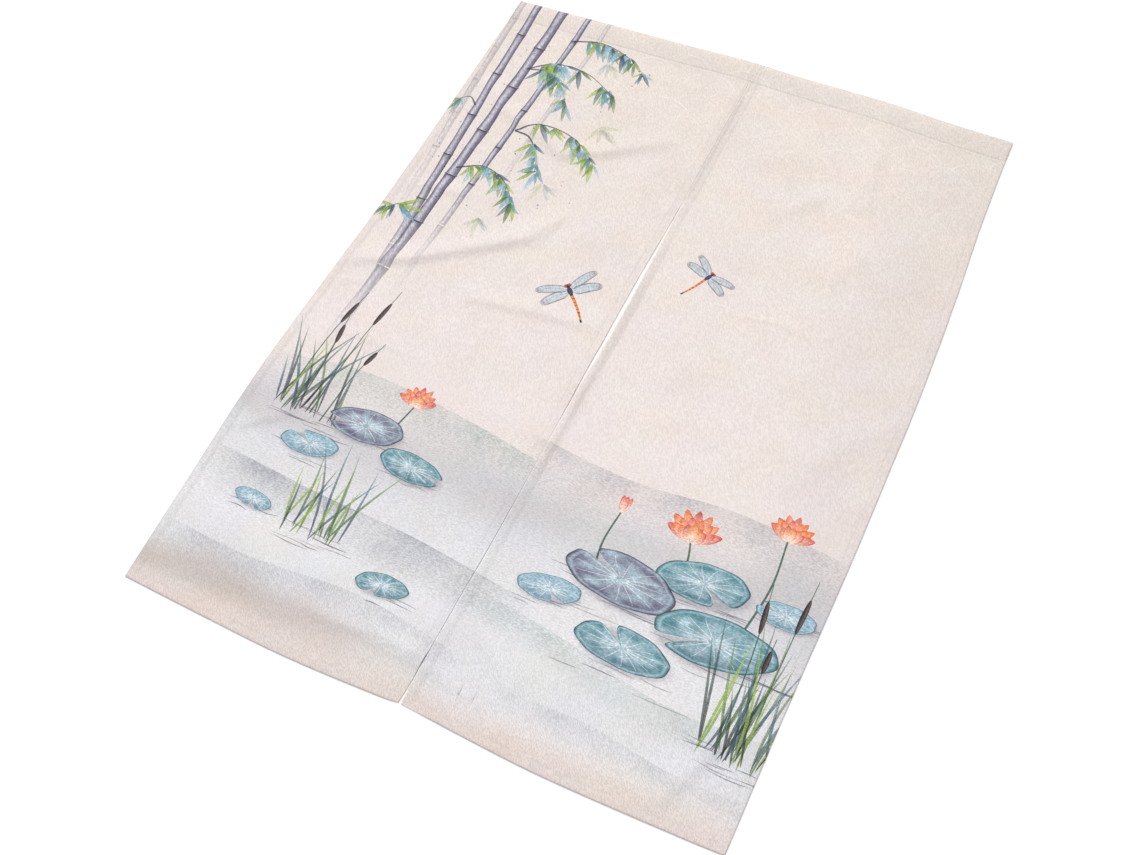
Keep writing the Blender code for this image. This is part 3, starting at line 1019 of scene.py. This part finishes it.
def depth_inside(runs, points):
    """How far points of the flat sheet lie inside its outline."""
    bottom, right, end, left = runs
    x, s = points.T
    from_sides = np.minimum(x - np.interp(s, *left.T[::-1]), np.interp(s, *right.T[::-1]) - x)
    from_ends = np.minimum(s - np.interp(x, *bottom.T), np.interp(x, *end.T) - s)
    return np.minimum(from_sides, from_ends)


def sheet_points(panel, runs, step):
    """Points over the sheet: even in the open, closer at hems, stitch lines and the top fold."""
    width = WIDTH / 2
    body = LENGTH - POCKET_DEPTH
    edge = NEAR_EDGE[-1]
    inner = np.linspace(edge, width - edge, int((width - 2 * edge) / step))[1:-1]
    columns = np.concatenate([NEAR_EDGE, inner, width - NEAR_EDGE[::-1]]) / width
    movable = (columns > edge / width + 0.001) & (columns < 1 - edge / width - 0.001)
    rows = np.linspace(edge, body + NEAR_LINE[0], int((body - edge) / step))[1:-1]
    points = []
    for number, height in enumerate(np.concatenate([NEAR_EDGE, rows])):
        shares = columns + np.where(movable, (number % 2) * 0.5 * step / width, 0)
        left, right = side_edges(panel, np.full(len(shares), height))
        x = mix(left, right, shares)
        y = mix(bottom_edge(panel, x), pocket_line(x), height / body)
        left, right = side_edges(panel, y)
        points.append(np.stack([mix(left, right, shares), y], axis=1))
    pocket = np.linspace(NEAR_LINE[-1], POCKET_FOLD, 9)[1:]
    turn = POCKET_FOLD + np.linspace(0, POCKET_TURN, 9)[1:]
    back = POCKET_FOLD + POCKET_TURN + np.linspace(0, POCKET_FOLD + POCKET_UNDER - 1.5, 9)[1:]
    left, right = side_edges(panel, np.full(len(columns), LENGTH))
    guess = mix(left, right, columns)
    for past in np.concatenate([NEAR_LINE, pocket, turn, back]):
        s = pocket_line(guess) + past
        left, right = sheet_side_edges(panel, guess, s)
        points.append(np.stack([mix(left, right, columns), s], axis=1))
    points = np.concatenate(points)
    return points[depth_inside(runs, points) > POINT_MARGIN]


def cut_lines(shapes, runs):
    """The strokes' outlines and guides where they lie inside the sheet, as points and edges between them."""
    starts, stops = [np.zeros((0, 2))], [np.zeros((0, 2))]
    for shape in shapes:
        for line in [np.concatenate([shape.outline, shape.outline[:1]])] + shape.guides:
            a, b = line[:-1], line[1:]
            deep_a, deep_b = depth_inside(runs, a) > CUT_MARGIN, depth_inside(runs, b) > CUT_MARGIN
            keep = deep_a | deep_b
            a, b, deep_a, deep_b = a[keep], b[keep], deep_a[keep], deep_b[keep]
            inner, outer = np.where(deep_a[:, None], a, b), np.where(deep_a[:, None], b, a)
            low, high = np.zeros(len(a)), np.ones(len(a))
            for _ in range(10):
                half = (low + high) / 2
                deep = depth_inside(runs, mix(inner, outer, half[:, None])) > CUT_MARGIN
                low, high = np.where(deep, half, low), np.where(deep, high, half)
            reach = np.where(deep_a & deep_b, 1.0, low)[:, None]
            starts.append(inner)
            stops.append(mix(inner, outer, reach))
    starts, stops = np.concatenate(starts), np.concatenate(stops)
    numbers = np.arange(len(starts))
    return np.concatenate([starts, stops]), np.stack([numbers, numbers + len(starts)], axis=1)


def clear_of(points, lines, reach):
    """The points with no line point near them, looked up in small squares."""
    squares = np.floor(lines / reach).astype(int)
    around = [(dx, dy) for dx in (-1, 0, 1) for dy in (-1, 0, 1)]
    taken = {tuple(square) for shift in around for square in (squares + shift).tolist()}
    free = [tuple(square) not in taken for square in np.floor(points / reach).astype(int).tolist()]
    return points[np.array(free)]


def triangulate(outline, points, line_points, line_edges):
    """Triangles over the sheet that follow the lines. The outline's points come first."""
    count = len(outline)
    spots = np.concatenate([outline, line_points, points])
    edges = [(i, (i + 1) % count) for i in range(count)] + (line_edges + count).tolist()
    verts, _, faces, *_ = delaunay_2d_cdt([Vector(spot) for spot in spots.tolist()], edges, [], 1, 0.08)
    verts, faces = np.array([tuple(vert) for vert in verts]), np.array(faces)
    a, b, c = verts[faces].transpose(1, 0, 2)
    area = (b - a)[:, 0] * (c - a)[:, 1] - (b - a)[:, 1] * (c - a)[:, 0]
    return verts, np.where((area > 0)[:, None], faces, faces[:, ::-1])


def outward(outline):
    """The outward direction at each point of an anticlockwise outline."""
    along = np.roll(outline, -1, axis=0) - np.roll(outline, 1, axis=0)
    along /= np.hypot(*along.T)[:, None]
    return np.stack([along[:, 1], -along[:, 0]], axis=1)


def on_back(flat):
    """Where a point of the back lies on the map: mirrored, beside the face."""
    return flat * (-1, 1) + (WIDTH + BACK_SHIFT, 0)


def rim_faces(outline, away, starts):
    """The triangles between the loops of the rim, and their corners on the map."""
    ring = np.arange(len(outline))
    following = np.roll(ring, -1)
    tris, maps = [], []
    for k in range(len(RIM_MAP) - 1):
        near, far = outline + away * RIM_MAP[k], outline + away * RIM_MAP[k + 1]
        if k >= len(RIM_MAP) // 2:
            near, far = on_back(near), on_back(far)
        a, b, c, d = ring + starts[k], ring + starts[k + 1], following + starts[k], following + starts[k + 1]
        tris.append(np.stack([a, b, c], axis=1))
        tris.append(np.stack([c, b, d], axis=1))
        maps.append(np.stack([near, far, near[following]], axis=1))
        maps.append(np.stack([near[following], far, far[following]], axis=1))
    return tris, maps


def face_colours(panel, shapes, runs, corners):
    """The print on the face and the rim, with painted shade at the edges, hems, seam and pocket line, and its
    ink.
    """
    colour, ink = paint_corners(shapes, corners)
    x, s = corners.transpose(2, 0, 1)
    edge = ease((depth_inside(runs, corners.reshape(-1, 2)) + RIM) / RIM_SHADE_REACH).reshape(x.shape)
    at_meeting = ease(1 - np.abs(x - SEAM_X) / 40)
    at_seam = ease((s - SLIT_TOP) / 60) * at_meeting
    rim_shade = mix(RIM_SHADE, SLIT_RIM_LIGHT, at_meeting[..., None])
    colour = colour * mix(rim_shade, 1.0, np.maximum(edge, at_seam)[..., None])
    return colour * mix(1.0, FULL_PAINTED_SHADE, painted_shade(panel, x, s)[..., None]), ink


def build_cloth(panel, shapes):
    """One panel's cloth as a closed sheet, turned over at the top into its rod pocket."""
    runs = sheet_outline(panel)
    bottom, right, end, left = runs
    outline = np.concatenate([bottom[:-1], right[:-1], end[::-1][:-1], left[::-1][:-1]])
    round_right = edge_roundness(panel, 1, right[:-1, 1])
    round_left = edge_roundness(panel, 0, left[::-1][:-1, 1])
    roundness = np.concatenate([np.ones(len(bottom) - 1), round_right, np.ones(len(end) - 1), round_left])
    away = outward(outline) * roundness[:, None]

    line_points, line_edges = cut_lines(shapes, runs)
    points = clear_of(sheet_points(panel, runs, FACE_STEP), line_points, CLEARANCE)
    face, face_tris = triangulate(outline, points, line_points, line_edges)
    no_lines = np.zeros((0, 2)), np.zeros((0, 2), int)
    back, back_tris = triangulate(outline, sheet_points(panel, runs, BACK_STEP), *no_lines)
    back_tris = back_tris[:, ::-1]

    flats, places = [face], [place(panel, *face.T, 1.0)]
    for out, down in RIM_LOOPS:
        ring = outline + away * out
        flats.append(ring)
        places.append(mix(place(panel, *ring.T, 1.0), place(panel, *ring.T, 0.0), down))
    flats.append(back)
    places.append(place(panel, *back.T, 0.0))
    starts = np.cumsum([0] + [len(flat) for flat in flats])
    rim_tris, rim_maps = rim_faces(outline, away, starts)
    tris = [face_tris] + rim_tris + [back_tris + starts[-2]]
    maps = [face[face_tris]] + rim_maps + [on_back(back)[back_tris]]

    flat = np.concatenate(flats)
    colour, ink = face_colours(panel, shapes, runs, flat[np.concatenate(tris[:-1])])
    behind = mix(CLOTH_BACK, paint_corners(shapes, back[:, None])[0][:, 0], SHOW_THROUGH)[back_tris]
    inks = np.concatenate([ink, np.zeros(back_tris.shape)])
    uv = (np.concatenate(maps) + (MAP_MARGIN - flat[:, 0].min(), MAP_MARGIN)) / MAP_SIZE
    faces, colours = np.concatenate(tris), np.concatenate([colour, behind])
    return make_mesh("curtain_" + panel, np.concatenate(places), faces, colours, inks, uv)


def add_object(name, data):
    thing = bpy.data.objects.new(name, data)
    bpy.context.scene.collection.objects.link(thing)
    return thing


def make_mesh(name, verts, faces, colours=None, inks=None, uv=None):
    mesh = bpy.data.meshes.new(name)
    mesh.from_pydata(to_metres(verts).tolist(), [], faces.tolist())
    if colours is not None:
        layer = mesh.color_attributes.new("print", "FLOAT_COLOR", "CORNER")
        layer.data.foreach_set("color", np.concatenate([colours, inks[..., None]], axis=-1).ravel())
        mesh.uv_layers.new(name="OFBake").data.foreach_set("uv", uv.ravel())
    mesh.shade_smooth()
    return add_object(name, mesh)


# Stitches

STITCH = 2.7
STITCH_PITCH = 3.5
STITCH_PROUD = 0.1  # how far the thread's middle stands off the cloth
THREAD = 0.24  # half the thread's width
SEAM_PITCH = 4.2
SEAM_SLANT = 0.9
SEAM_BITE = 1.5  # how far into each panel the seam's stitches reach
# Columns: place along the stitch, thickness as a share of the thread's, height
STITCH_SECTIONS = ((0, 0.45, -0.28), (0.16, 0.95, 0), (0.5, 1, 0.1), (0.84, 0.95, 0), (1, 0.45, -0.28))
STITCH_SIDES = 6


def thread_mesh(ends_a, ends_b, ups):
    """Short lengths of thread between pairs of points, each sunk into the cloth at its ends."""
    along = ends_b - ends_a
    forward = along / np.linalg.norm(along, axis=1)[:, None]
    aside = np.cross(ups, forward)
    aside /= np.linalg.norm(aside, axis=1)[:, None]
    up = np.cross(forward, aside)
    angles = np.arange(STITCH_SIDES) * 2 * math.pi / STITCH_SIDES
    rings = []
    for share, size, rise in STITCH_SECTIONS:
        centre = ends_a + along * share + up * rise
        reach = THREAD * size
        circle = aside[:, None] * np.cos(angles)[:, None] + up[:, None] * (0.8 * np.sin(angles))[:, None]
        rings.append(centre[:, None] + circle * reach)
    verts = np.stack(rings, axis=1).reshape(-1, 3)
    ring = np.arange(STITCH_SIDES)
    following = np.roll(ring, -1)
    tris = []
    for k in range(len(STITCH_SECTIONS) - 1):
        low, high = k * STITCH_SIDES, (k + 1) * STITCH_SIDES
        tris.append(np.stack([ring + low, following + low, following + high], axis=1))
        tris.append(np.stack([ring + low, following + high, ring + high], axis=1))
    last = (len(STITCH_SECTIONS) - 1) * STITCH_SIDES
    for k in range(1, STITCH_SIDES - 1):
        tris.append(np.array([[0, k + 1, k]]))
        tris.append(np.array([[last, last + k, last + k + 1]]))
    one = np.concatenate(tris)
    size = len(STITCH_SECTIONS) * STITCH_SIDES
    faces = (one[None] + size * np.arange(len(ends_a))[:, None, None]).reshape(-1, 3)
    return verts, faces


def stitch_runs(panel):
    """The centre lines of the stitch rows on the flat sheet: both sides, the bottom and the pocket."""

    def beside(number, y):
        inward = -HEM_LINE if number else HEM_LINE
        return np.stack([side_edges(panel, y)[number] + inward, y], axis=1)

    runs = []
    for number in (0, 1):
        body = beside(number, np.arange(HEM_LINE, LENGTH - 7, STITCH_PITCH))
        runs.append(body[body[:, 1] < pocket_line(body[:, 0]) - 2])
        runs.append(beside(number, np.arange(LENGTH - POCKET_DEPTH + 4, LENGTH - 6, STITCH_PITCH)))
    for height, margin in ((HEM_LINE, HEM_LINE), (LENGTH - POCKET_DEPTH, 2)):
        left, right = side_edges(panel, np.full(1, height))
        x = np.arange(left[0] + margin, right[0] - margin, STITCH_PITCH)
        y = bottom_edge(panel, x) + HEM_LINE if height == HEM_LINE else pocket_line(x)
        runs.append(np.stack([x, y], axis=1))
    return runs


def build_stitches(panel):
    """The rows of stitches on both faces of a panel."""
    dice = np.random.default_rng(11 if panel == "left" else 12)
    ends_a, ends_b, ups = [], [], []
    for run in stitch_runs(panel):
        step = np.gradient(run, axis=0)
        step /= np.hypot(*step.T)[:, None]
        wander = dice.normal(0, 0.09, (len(run), 1)) * np.stack([-step[:, 1], step[:, 0]], axis=1)
        half = step * (STITCH / 2) * dice.uniform(0.93, 1.05, (len(run), 1))
        for face, side in ((1.0, 1.0), (0.0, -1.0)):
            ends_a.append(place(panel, *(run + wander - half).T, face) + (0, 0, STITCH_PROUD * side))
            ends_b.append(place(panel, *(run + wander + half).T, face) + (0, 0, STITCH_PROUD * side))
            ups.append(np.tile([0.0, 0.0, side], (len(run), 1)))
    verts, faces = thread_mesh(np.concatenate(ends_a), np.concatenate(ends_b), np.concatenate(ups))
    verts[:, 2] = np.maximum(verts[:, 2], 0.03)
    return make_mesh("stitches_" + panel, verts, faces)


def build_seam():
    """The stitches that hold the two panels edge to edge above the slit."""
    y = np.arange(SLIT_TOP + 4, LENGTH - 5, SEAM_PITCH)
    left = side_edges("left", y)[1] - SEAM_BITE
    right = side_edges("right", y)[0] + SEAM_BITE
    ends_a = place("left", left, y - SEAM_SLANT, 1.0)
    ends_b = place("right", right, y + SEAM_SLANT, 1.0)
    ups = np.tile([0.0, 0.0, 1.0], (len(y), 1))
    verts, faces = thread_mesh(ends_a + (0, 0, 0.02), ends_b + (0, 0, 0.02), ups)
    return make_mesh("seam_stitches", verts, faces)


# Materials

class Nodes:
    """A short way to write a node tree: each call adds a node and returns its output."""

    def __init__(self, material):
        self.tree = material.node_tree
        self.shader = next(node for node in self.tree.nodes if node.type == "BSDF_PRINCIPLED")

    def add(self, kind, output=0, inputs=(), **settings):
        node = self.tree.nodes.new(kind)
        for name, value in settings.items():
            setattr(node, name, value)
        for name, value in dict(inputs).items():
            if isinstance(value, bpy.types.NodeSocket):
                self.tree.links.new(value, node.inputs[name])
            else:
                node.inputs[name].default_value = value
        return node.outputs[output]

    def math(self, operation, a, b=0.0, c=0.0):
        return self.add("ShaderNodeMath", 0, {0: a, 1: b, 2: c}, operation=operation)

    def scale(self, value, low, high):
        """Bring a value from 0 to 1 into a range."""
        return self.math("MULTIPLY_ADD", value, high - low, low)

    def vector(self, operation, inputs):
        return self.add("ShaderNodeVectorMath", 0, inputs, operation=operation)

    def spaced(self, turn, across, along, wander=0.0):
        """Object coordinates turned about the vertical and divided by a feature's size, in metres. Where
        streaks wander, soft noise shifts the place first."""
        spot = self.add("ShaderNodeTexCoord", "Object")
        if wander:
            coarse = self.vector("SCALE", {0: spot, "Scale": 1 / (5 * wander)})
            soft = self.add("ShaderNodeTexNoise", 1, {"Vector": coarse, "Scale": 1.0, "Detail": 1.0})
            centred = self.vector("SUBTRACT", {0: soft, 1: (0.5, 0.5, 0.5)})
            shift = self.vector("SCALE", {0: centred, "Scale": 2 * wander})
            spot = self.vector("ADD", {0: spot, 1: shift})
        inputs = {"Vector": spot, "Angle": turn}
        around = self.add("ShaderNodeVectorRotate", 0, inputs, rotation_type="Z_AXIS")
        return self.vector("MULTIPLY", {0: around, 1: (1 / across, 1 / along, 1 / across)})

    def on_plan(self, axis):
        """A place's X, Y or Z, in metres."""
        return self.add("ShaderNodeSeparateXYZ", axis, {0: self.add("ShaderNodeTexCoord", "Object")})

    def ramp(self, value, start, end, **settings):
        """0 before the start, 1 past the end."""
        inputs = {"Value": value, "From Min": start, "From Max": end}
        return self.add("ShaderNodeMapRange", 0, inputs, **settings)

    def noise(self, vector, detail, roughness):
        inputs = {"Vector": vector, "Scale": 1.0, "Detail": detail, "Roughness": roughness}
        return self.add("ShaderNodeTexNoise", 0, inputs)

    def tint(self, colour, amount):
        """Multiply a colour by a grey amount."""
        return self.vector("SCALE", {0: colour, "Scale": amount})

    def shade(self, name, value):
        if isinstance(value, bpy.types.NodeSocket):
            self.tree.links.new(value, self.shader.inputs[name])
        else:
            self.shader.inputs[name].default_value = value


def new_material(name):
    material = bpy.data.materials.new(name)
    material.use_nodes = True
    return material, Nodes(material)


SCALE_WIDTH = 0.1  # of one arc of the woven ground
SCALE_LINES = ((0.483, 0.015, 1.0), (0.405, 0.012, 0.45))  # columns: radius, half width, strength
SCALE_TOP = (1180 - MIDDLE_Y) * MM
SCALE_FADE = (820 - MIDDLE_Y) * MM


def wave_scales(nodes):
    """Faint rows of overlapping arcs in the upper ground, each one over the next row up."""
    y_on_plan = nodes.on_plan("Y")
    x = nodes.math("DIVIDE", nodes.on_plan("X"), SCALE_WIDTH)
    y = nodes.math("DIVIDE", y_on_plan, SCALE_WIDTH / 4)
    row = nodes.math("FLOOR", y)
    found = None
    for up in (-1, 0, 1, 2)[::-1]:
        this_row = nodes.math("ADD", row, float(up - 1))
        shift = nodes.math("MULTIPLY", this_row, 0.5)
        centred = nodes.math("SUBTRACT", nodes.math("FRACT", nodes.math("ADD", x, shift)), 0.5)
        rise = nodes.math("MULTIPLY", nodes.math("SUBTRACT", y, this_row), 0.25)
        squares = nodes.math("MULTIPLY_ADD", centred, centred, nodes.math("MULTIPLY", rise, rise))
        reach = nodes.math("SQRT", squares)
        covers = nodes.math("LESS_THAN", reach, 0.5)
        if found is None:
            found = reach
        else:
            kept = nodes.math("MULTIPLY", found, nodes.math("SUBTRACT", 1.0, covers))
            found = nodes.math("MULTIPLY_ADD", reach, covers, kept)
    arcs = 0.0
    for radius, half, strength in SCALE_LINES:
        off = nodes.math("ABSOLUTE", nodes.math("SUBTRACT", found, radius))
        line = nodes.math("MAXIMUM", nodes.math("MULTIPLY_ADD", off, -strength / half, strength), 0.0)
        arcs = nodes.math("ADD", arcs, line)
    return nodes.math("MULTIPLY", arcs, nodes.ramp(y_on_plan, SCALE_FADE, SCALE_TOP - 0.08))


# The crepe's ridges above the water, on it and below it, in columns: turn, size, strength of the painted
# highlight on the ridges and painted shade between them
CREPE = ((math.radians(-28), 1.0, 0.132), (math.radians(-86), 0.68, 0.2), (math.radians(-33), 0.64, 0.2))
WATER_FROM, WATER_TO = (470 - MIDDLE_Y) * MM, (380 - MIDDLE_Y) * MM
SHORE_FROM, SHORE_TO = (150 - MIDDLE_Y) * MM, (95 - MIDDLE_Y) * MM
THREAD_PITCH = 0.00062


def crepe_ridges(nodes, turn, size):
    """The short ridges of a crepe, roughly along one direction: soft for relief, crisp for the painted
    highlight and shade in the colour.
    """
    streaks = nodes.noise(nodes.spaced(turn, 0.002 * size, 0.0068 * size, 0.0048), 2.0, 0.5)
    grain = nodes.noise(nodes.spaced(turn - 0.2, 0.0014 * size, 0.0042 * size, 0.0036), 2.0, 0.55)
    soft = nodes.math("MULTIPLY_ADD", streaks, 0.6, nodes.math("MULTIPLY", grain, 0.4))
    return soft, nodes.ramp(soft, 0.42, 0.58, interpolation_type="SMOOTHSTEP")


def cloth_material():
    """Light crepe-woven polyester with an ink print."""
    material, nodes = new_material("printed_cloth")
    painted = nodes.add("ShaderNodeVertexColor", "Color", layer_name="print")
    ink = nodes.add("ShaderNodeVertexColor", "Alpha", layer_name="print")

    past = []
    for start, end in ((WATER_FROM, WATER_TO), (SHORE_FROM, SHORE_TO)):
        past.append(nodes.ramp(nodes.on_plan("Y"), start, end, interpolation_type="SMOOTHSTEP"))
    zones = [nodes.math("SUBTRACT", 1.0, past[0]), nodes.math("SUBTRACT", past[0], past[1]), past[1]]
    soft = crisp = contrast = 0.0
    for zone, (turn, size, strength) in zip(zones, CREPE):
        ridges = crepe_ridges(nodes, turn, size)
        soft = nodes.math("MULTIPLY_ADD", ridges[0], zone, soft)
        crisp = nodes.math("MULTIPLY_ADD", ridges[1], zone, crisp)
        contrast = nodes.math("MULTIPLY_ADD", zone, strength, contrast)
    clouds = nodes.noise(nodes.spaced(0.0, 0.05, 0.07), 3.0, 0.6)
    threads = {"Vector": nodes.spaced(0.0, THREAD_PITCH, THREAD_PITCH), "Scale": 0.314}
    warp, weft = (nodes.add("ShaderNodeTexWave", "Fac", threads, bands_direction=way) for way in "XY")
    weave = nodes.math("MULTIPLY", warp, weft)
    arcs = wave_scales(nodes)

    # painted highlight on the crepe's ridges and painted shade between them, then the weave, soft clouds of
    # tone and the woven arcs
    amount = nodes.math("MULTIPLY_ADD", nodes.math("SUBTRACT", crisp, 0.5), contrast, 1.0)
    for part, low, high in ((weave, 0.985, 1.03), (clouds, 0.985, 1.015), (arcs, 1.0, 1.1)):
        amount = nodes.math("MULTIPLY", amount, nodes.scale(part, low, high))
    # ink sits thinner on the raised threads and pools between them
    pooled = nodes.noise(nodes.spaced(0.4, 0.006, 0.008), 4.0, 0.65)
    worn = nodes.math("MULTIPLY_ADD", crisp, 0.28, nodes.math("MULTIPLY_ADD", pooled, 0.9, -0.56))
    amount = nodes.math("MULTIPLY_ADD", nodes.math("MULTIPLY", ink, worn), 0.9, amount)
    nodes.shade("Base Color", nodes.tint(painted, amount))

    nodes.shade("Roughness", nodes.scale(crisp, 0.7, 0.84))
    nodes.shade("Sheen Weight", 0.12)
    nodes.shade("Sheen Roughness", 0.45)
    nodes.shade("Specular IOR Level", 0.28)

    height = nodes.math("ADD", soft, nodes.math("MULTIPLY", weave, 0.25))
    height = nodes.math("ADD", height, nodes.math("MULTIPLY", arcs, 0.2))
    bump = nodes.add("ShaderNodeBump", 0, {"Height": height, "Strength": 0.5, "Distance": 0.0012})
    nodes.shade("Normal", bump)
    return material


def thread_material():
    """Twisted off-white sewing thread."""
    material, nodes = new_material("sewing_thread")
    strands = {"Vector": nodes.spaced(math.radians(35), 0.0012, 0.0012), "Scale": 1.0, "Distortion": 0.8}
    twist = nodes.add("ShaderNodeTexWave", "Fac", strands, bands_direction="DIAGONAL")
    fuzz = nodes.noise(nodes.spaced(0.0, 0.004, 0.004), 2.0, 0.6)
    amount = nodes.math("MULTIPLY", nodes.scale(twist, 0.86, 1.04), nodes.scale(fuzz, 0.92, 1.06))
    nodes.shade("Base Color", nodes.tint(tuple(rgb("E6DFD8")), amount))
    nodes.shade("Roughness", nodes.scale(twist, 0.55, 0.75))
    nodes.shade("Sheen Weight", 0.2)
    bump = {"Height": twist, "Strength": 0.5, "Distance": 0.0001}
    nodes.shade("Normal", nodes.add("ShaderNodeBump", 0, bump))
    return material


def floor_material():
    """Matt white studio paper."""
    material, nodes = new_material("studio_paper")
    fibre = nodes.noise(nodes.spaced(0.0, 0.004, 0.004), 3.0, 0.6)
    nodes.shade("Base Color", nodes.tint((0.965, 0.965, 0.965), nodes.scale(fibre, 0.997, 1.003)))
    nodes.shade("Roughness", 0.95)
    nodes.shade("Specular IOR Level", 0.1)
    return material


# Camera, floor and light

CAMERA_PLACE = Vector((0.49062, -0.92064, 1.54107))
CAMERA_FORWARD = Vector((-0.26518, 0.43276, -0.86162))
CAMERA_UP = Vector((-0.34407, 0.79231, 0.50384))
CAMERA_LENS = 40.75
SUN_PLACE = (-1.4, 1.9, 2.2)
SUN_STRENGTH = 2.0
SUN_SPREAD = math.radians(30)
STUDIO_STRENGTH = 0.68
FLOOR_HALF = 6.0


def add_camera():
    camera = bpy.data.cameras.new("camera")
    camera.lens = CAMERA_LENS
    camera.sensor_width = 36
    camera.clip_start = 0.01
    placed = add_object("camera", camera)
    axes = Matrix((CAMERA_FORWARD.cross(CAMERA_UP), CAMERA_UP, -CAMERA_FORWARD)).transposed().to_4x4()
    placed.matrix_world = Matrix.Translation(CAMERA_PLACE) @ axes
    bpy.context.scene.camera = placed


def add_sun(location, energy, spread):
    sun = bpy.data.lights.new("key", "SUN")
    sun.energy = energy
    sun.angle = spread
    placed = add_object("key", sun)
    placed.location = location
    placed.rotation_euler = (-Vector(location)).to_track_quat("-Z", "Y").to_euler()


def add_world(strength):
    world = bpy.data.worlds.new("studio")
    world.use_nodes = True
    background = world.node_tree.nodes["Background"]
    background.inputs["Color"].default_value = (1, 1, 1, 1)
    background.inputs["Strength"].default_value = strength
    bpy.context.scene.world = world


def add_floor(material):
    mesh = bpy.data.meshes.new("floor")
    corners = [(FLOOR_HALF * x, FLOOR_HALF * y, 0) for x, y in ((-1, -1), (1, -1), (1, 1), (-1, 1))]
    mesh.from_pydata(corners, [], [(0, 1, 2, 3)])
    mesh.materials.append(material)
    floor = add_object("floor", mesh)


# The scene

add_camera()
bpy.context.scene.view_settings.view_transform = "Standard"
add_world(STUDIO_STRENGTH)
add_sun(SUN_PLACE, SUN_STRENGTH, SUN_SPREAD)
add_floor(floor_material())

SHAPES = the_print()
cloth = cloth_material()
thread = thread_material()
for panel in ("left", "right"):
    curtain = build_cloth(panel, SHAPES)
    curtain.data.materials.append(cloth)
    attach(curtain, "root")
    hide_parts("panel_" + panel, "rod_pocket_" + panel)
    stitches = build_stitches(panel)
    stitches.data.materials.append(thread)
    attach(stitches, "root")
    if panel == "right":
        seam = build_seam()
        seam.data.materials.append(thread)
        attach(seam, "root")
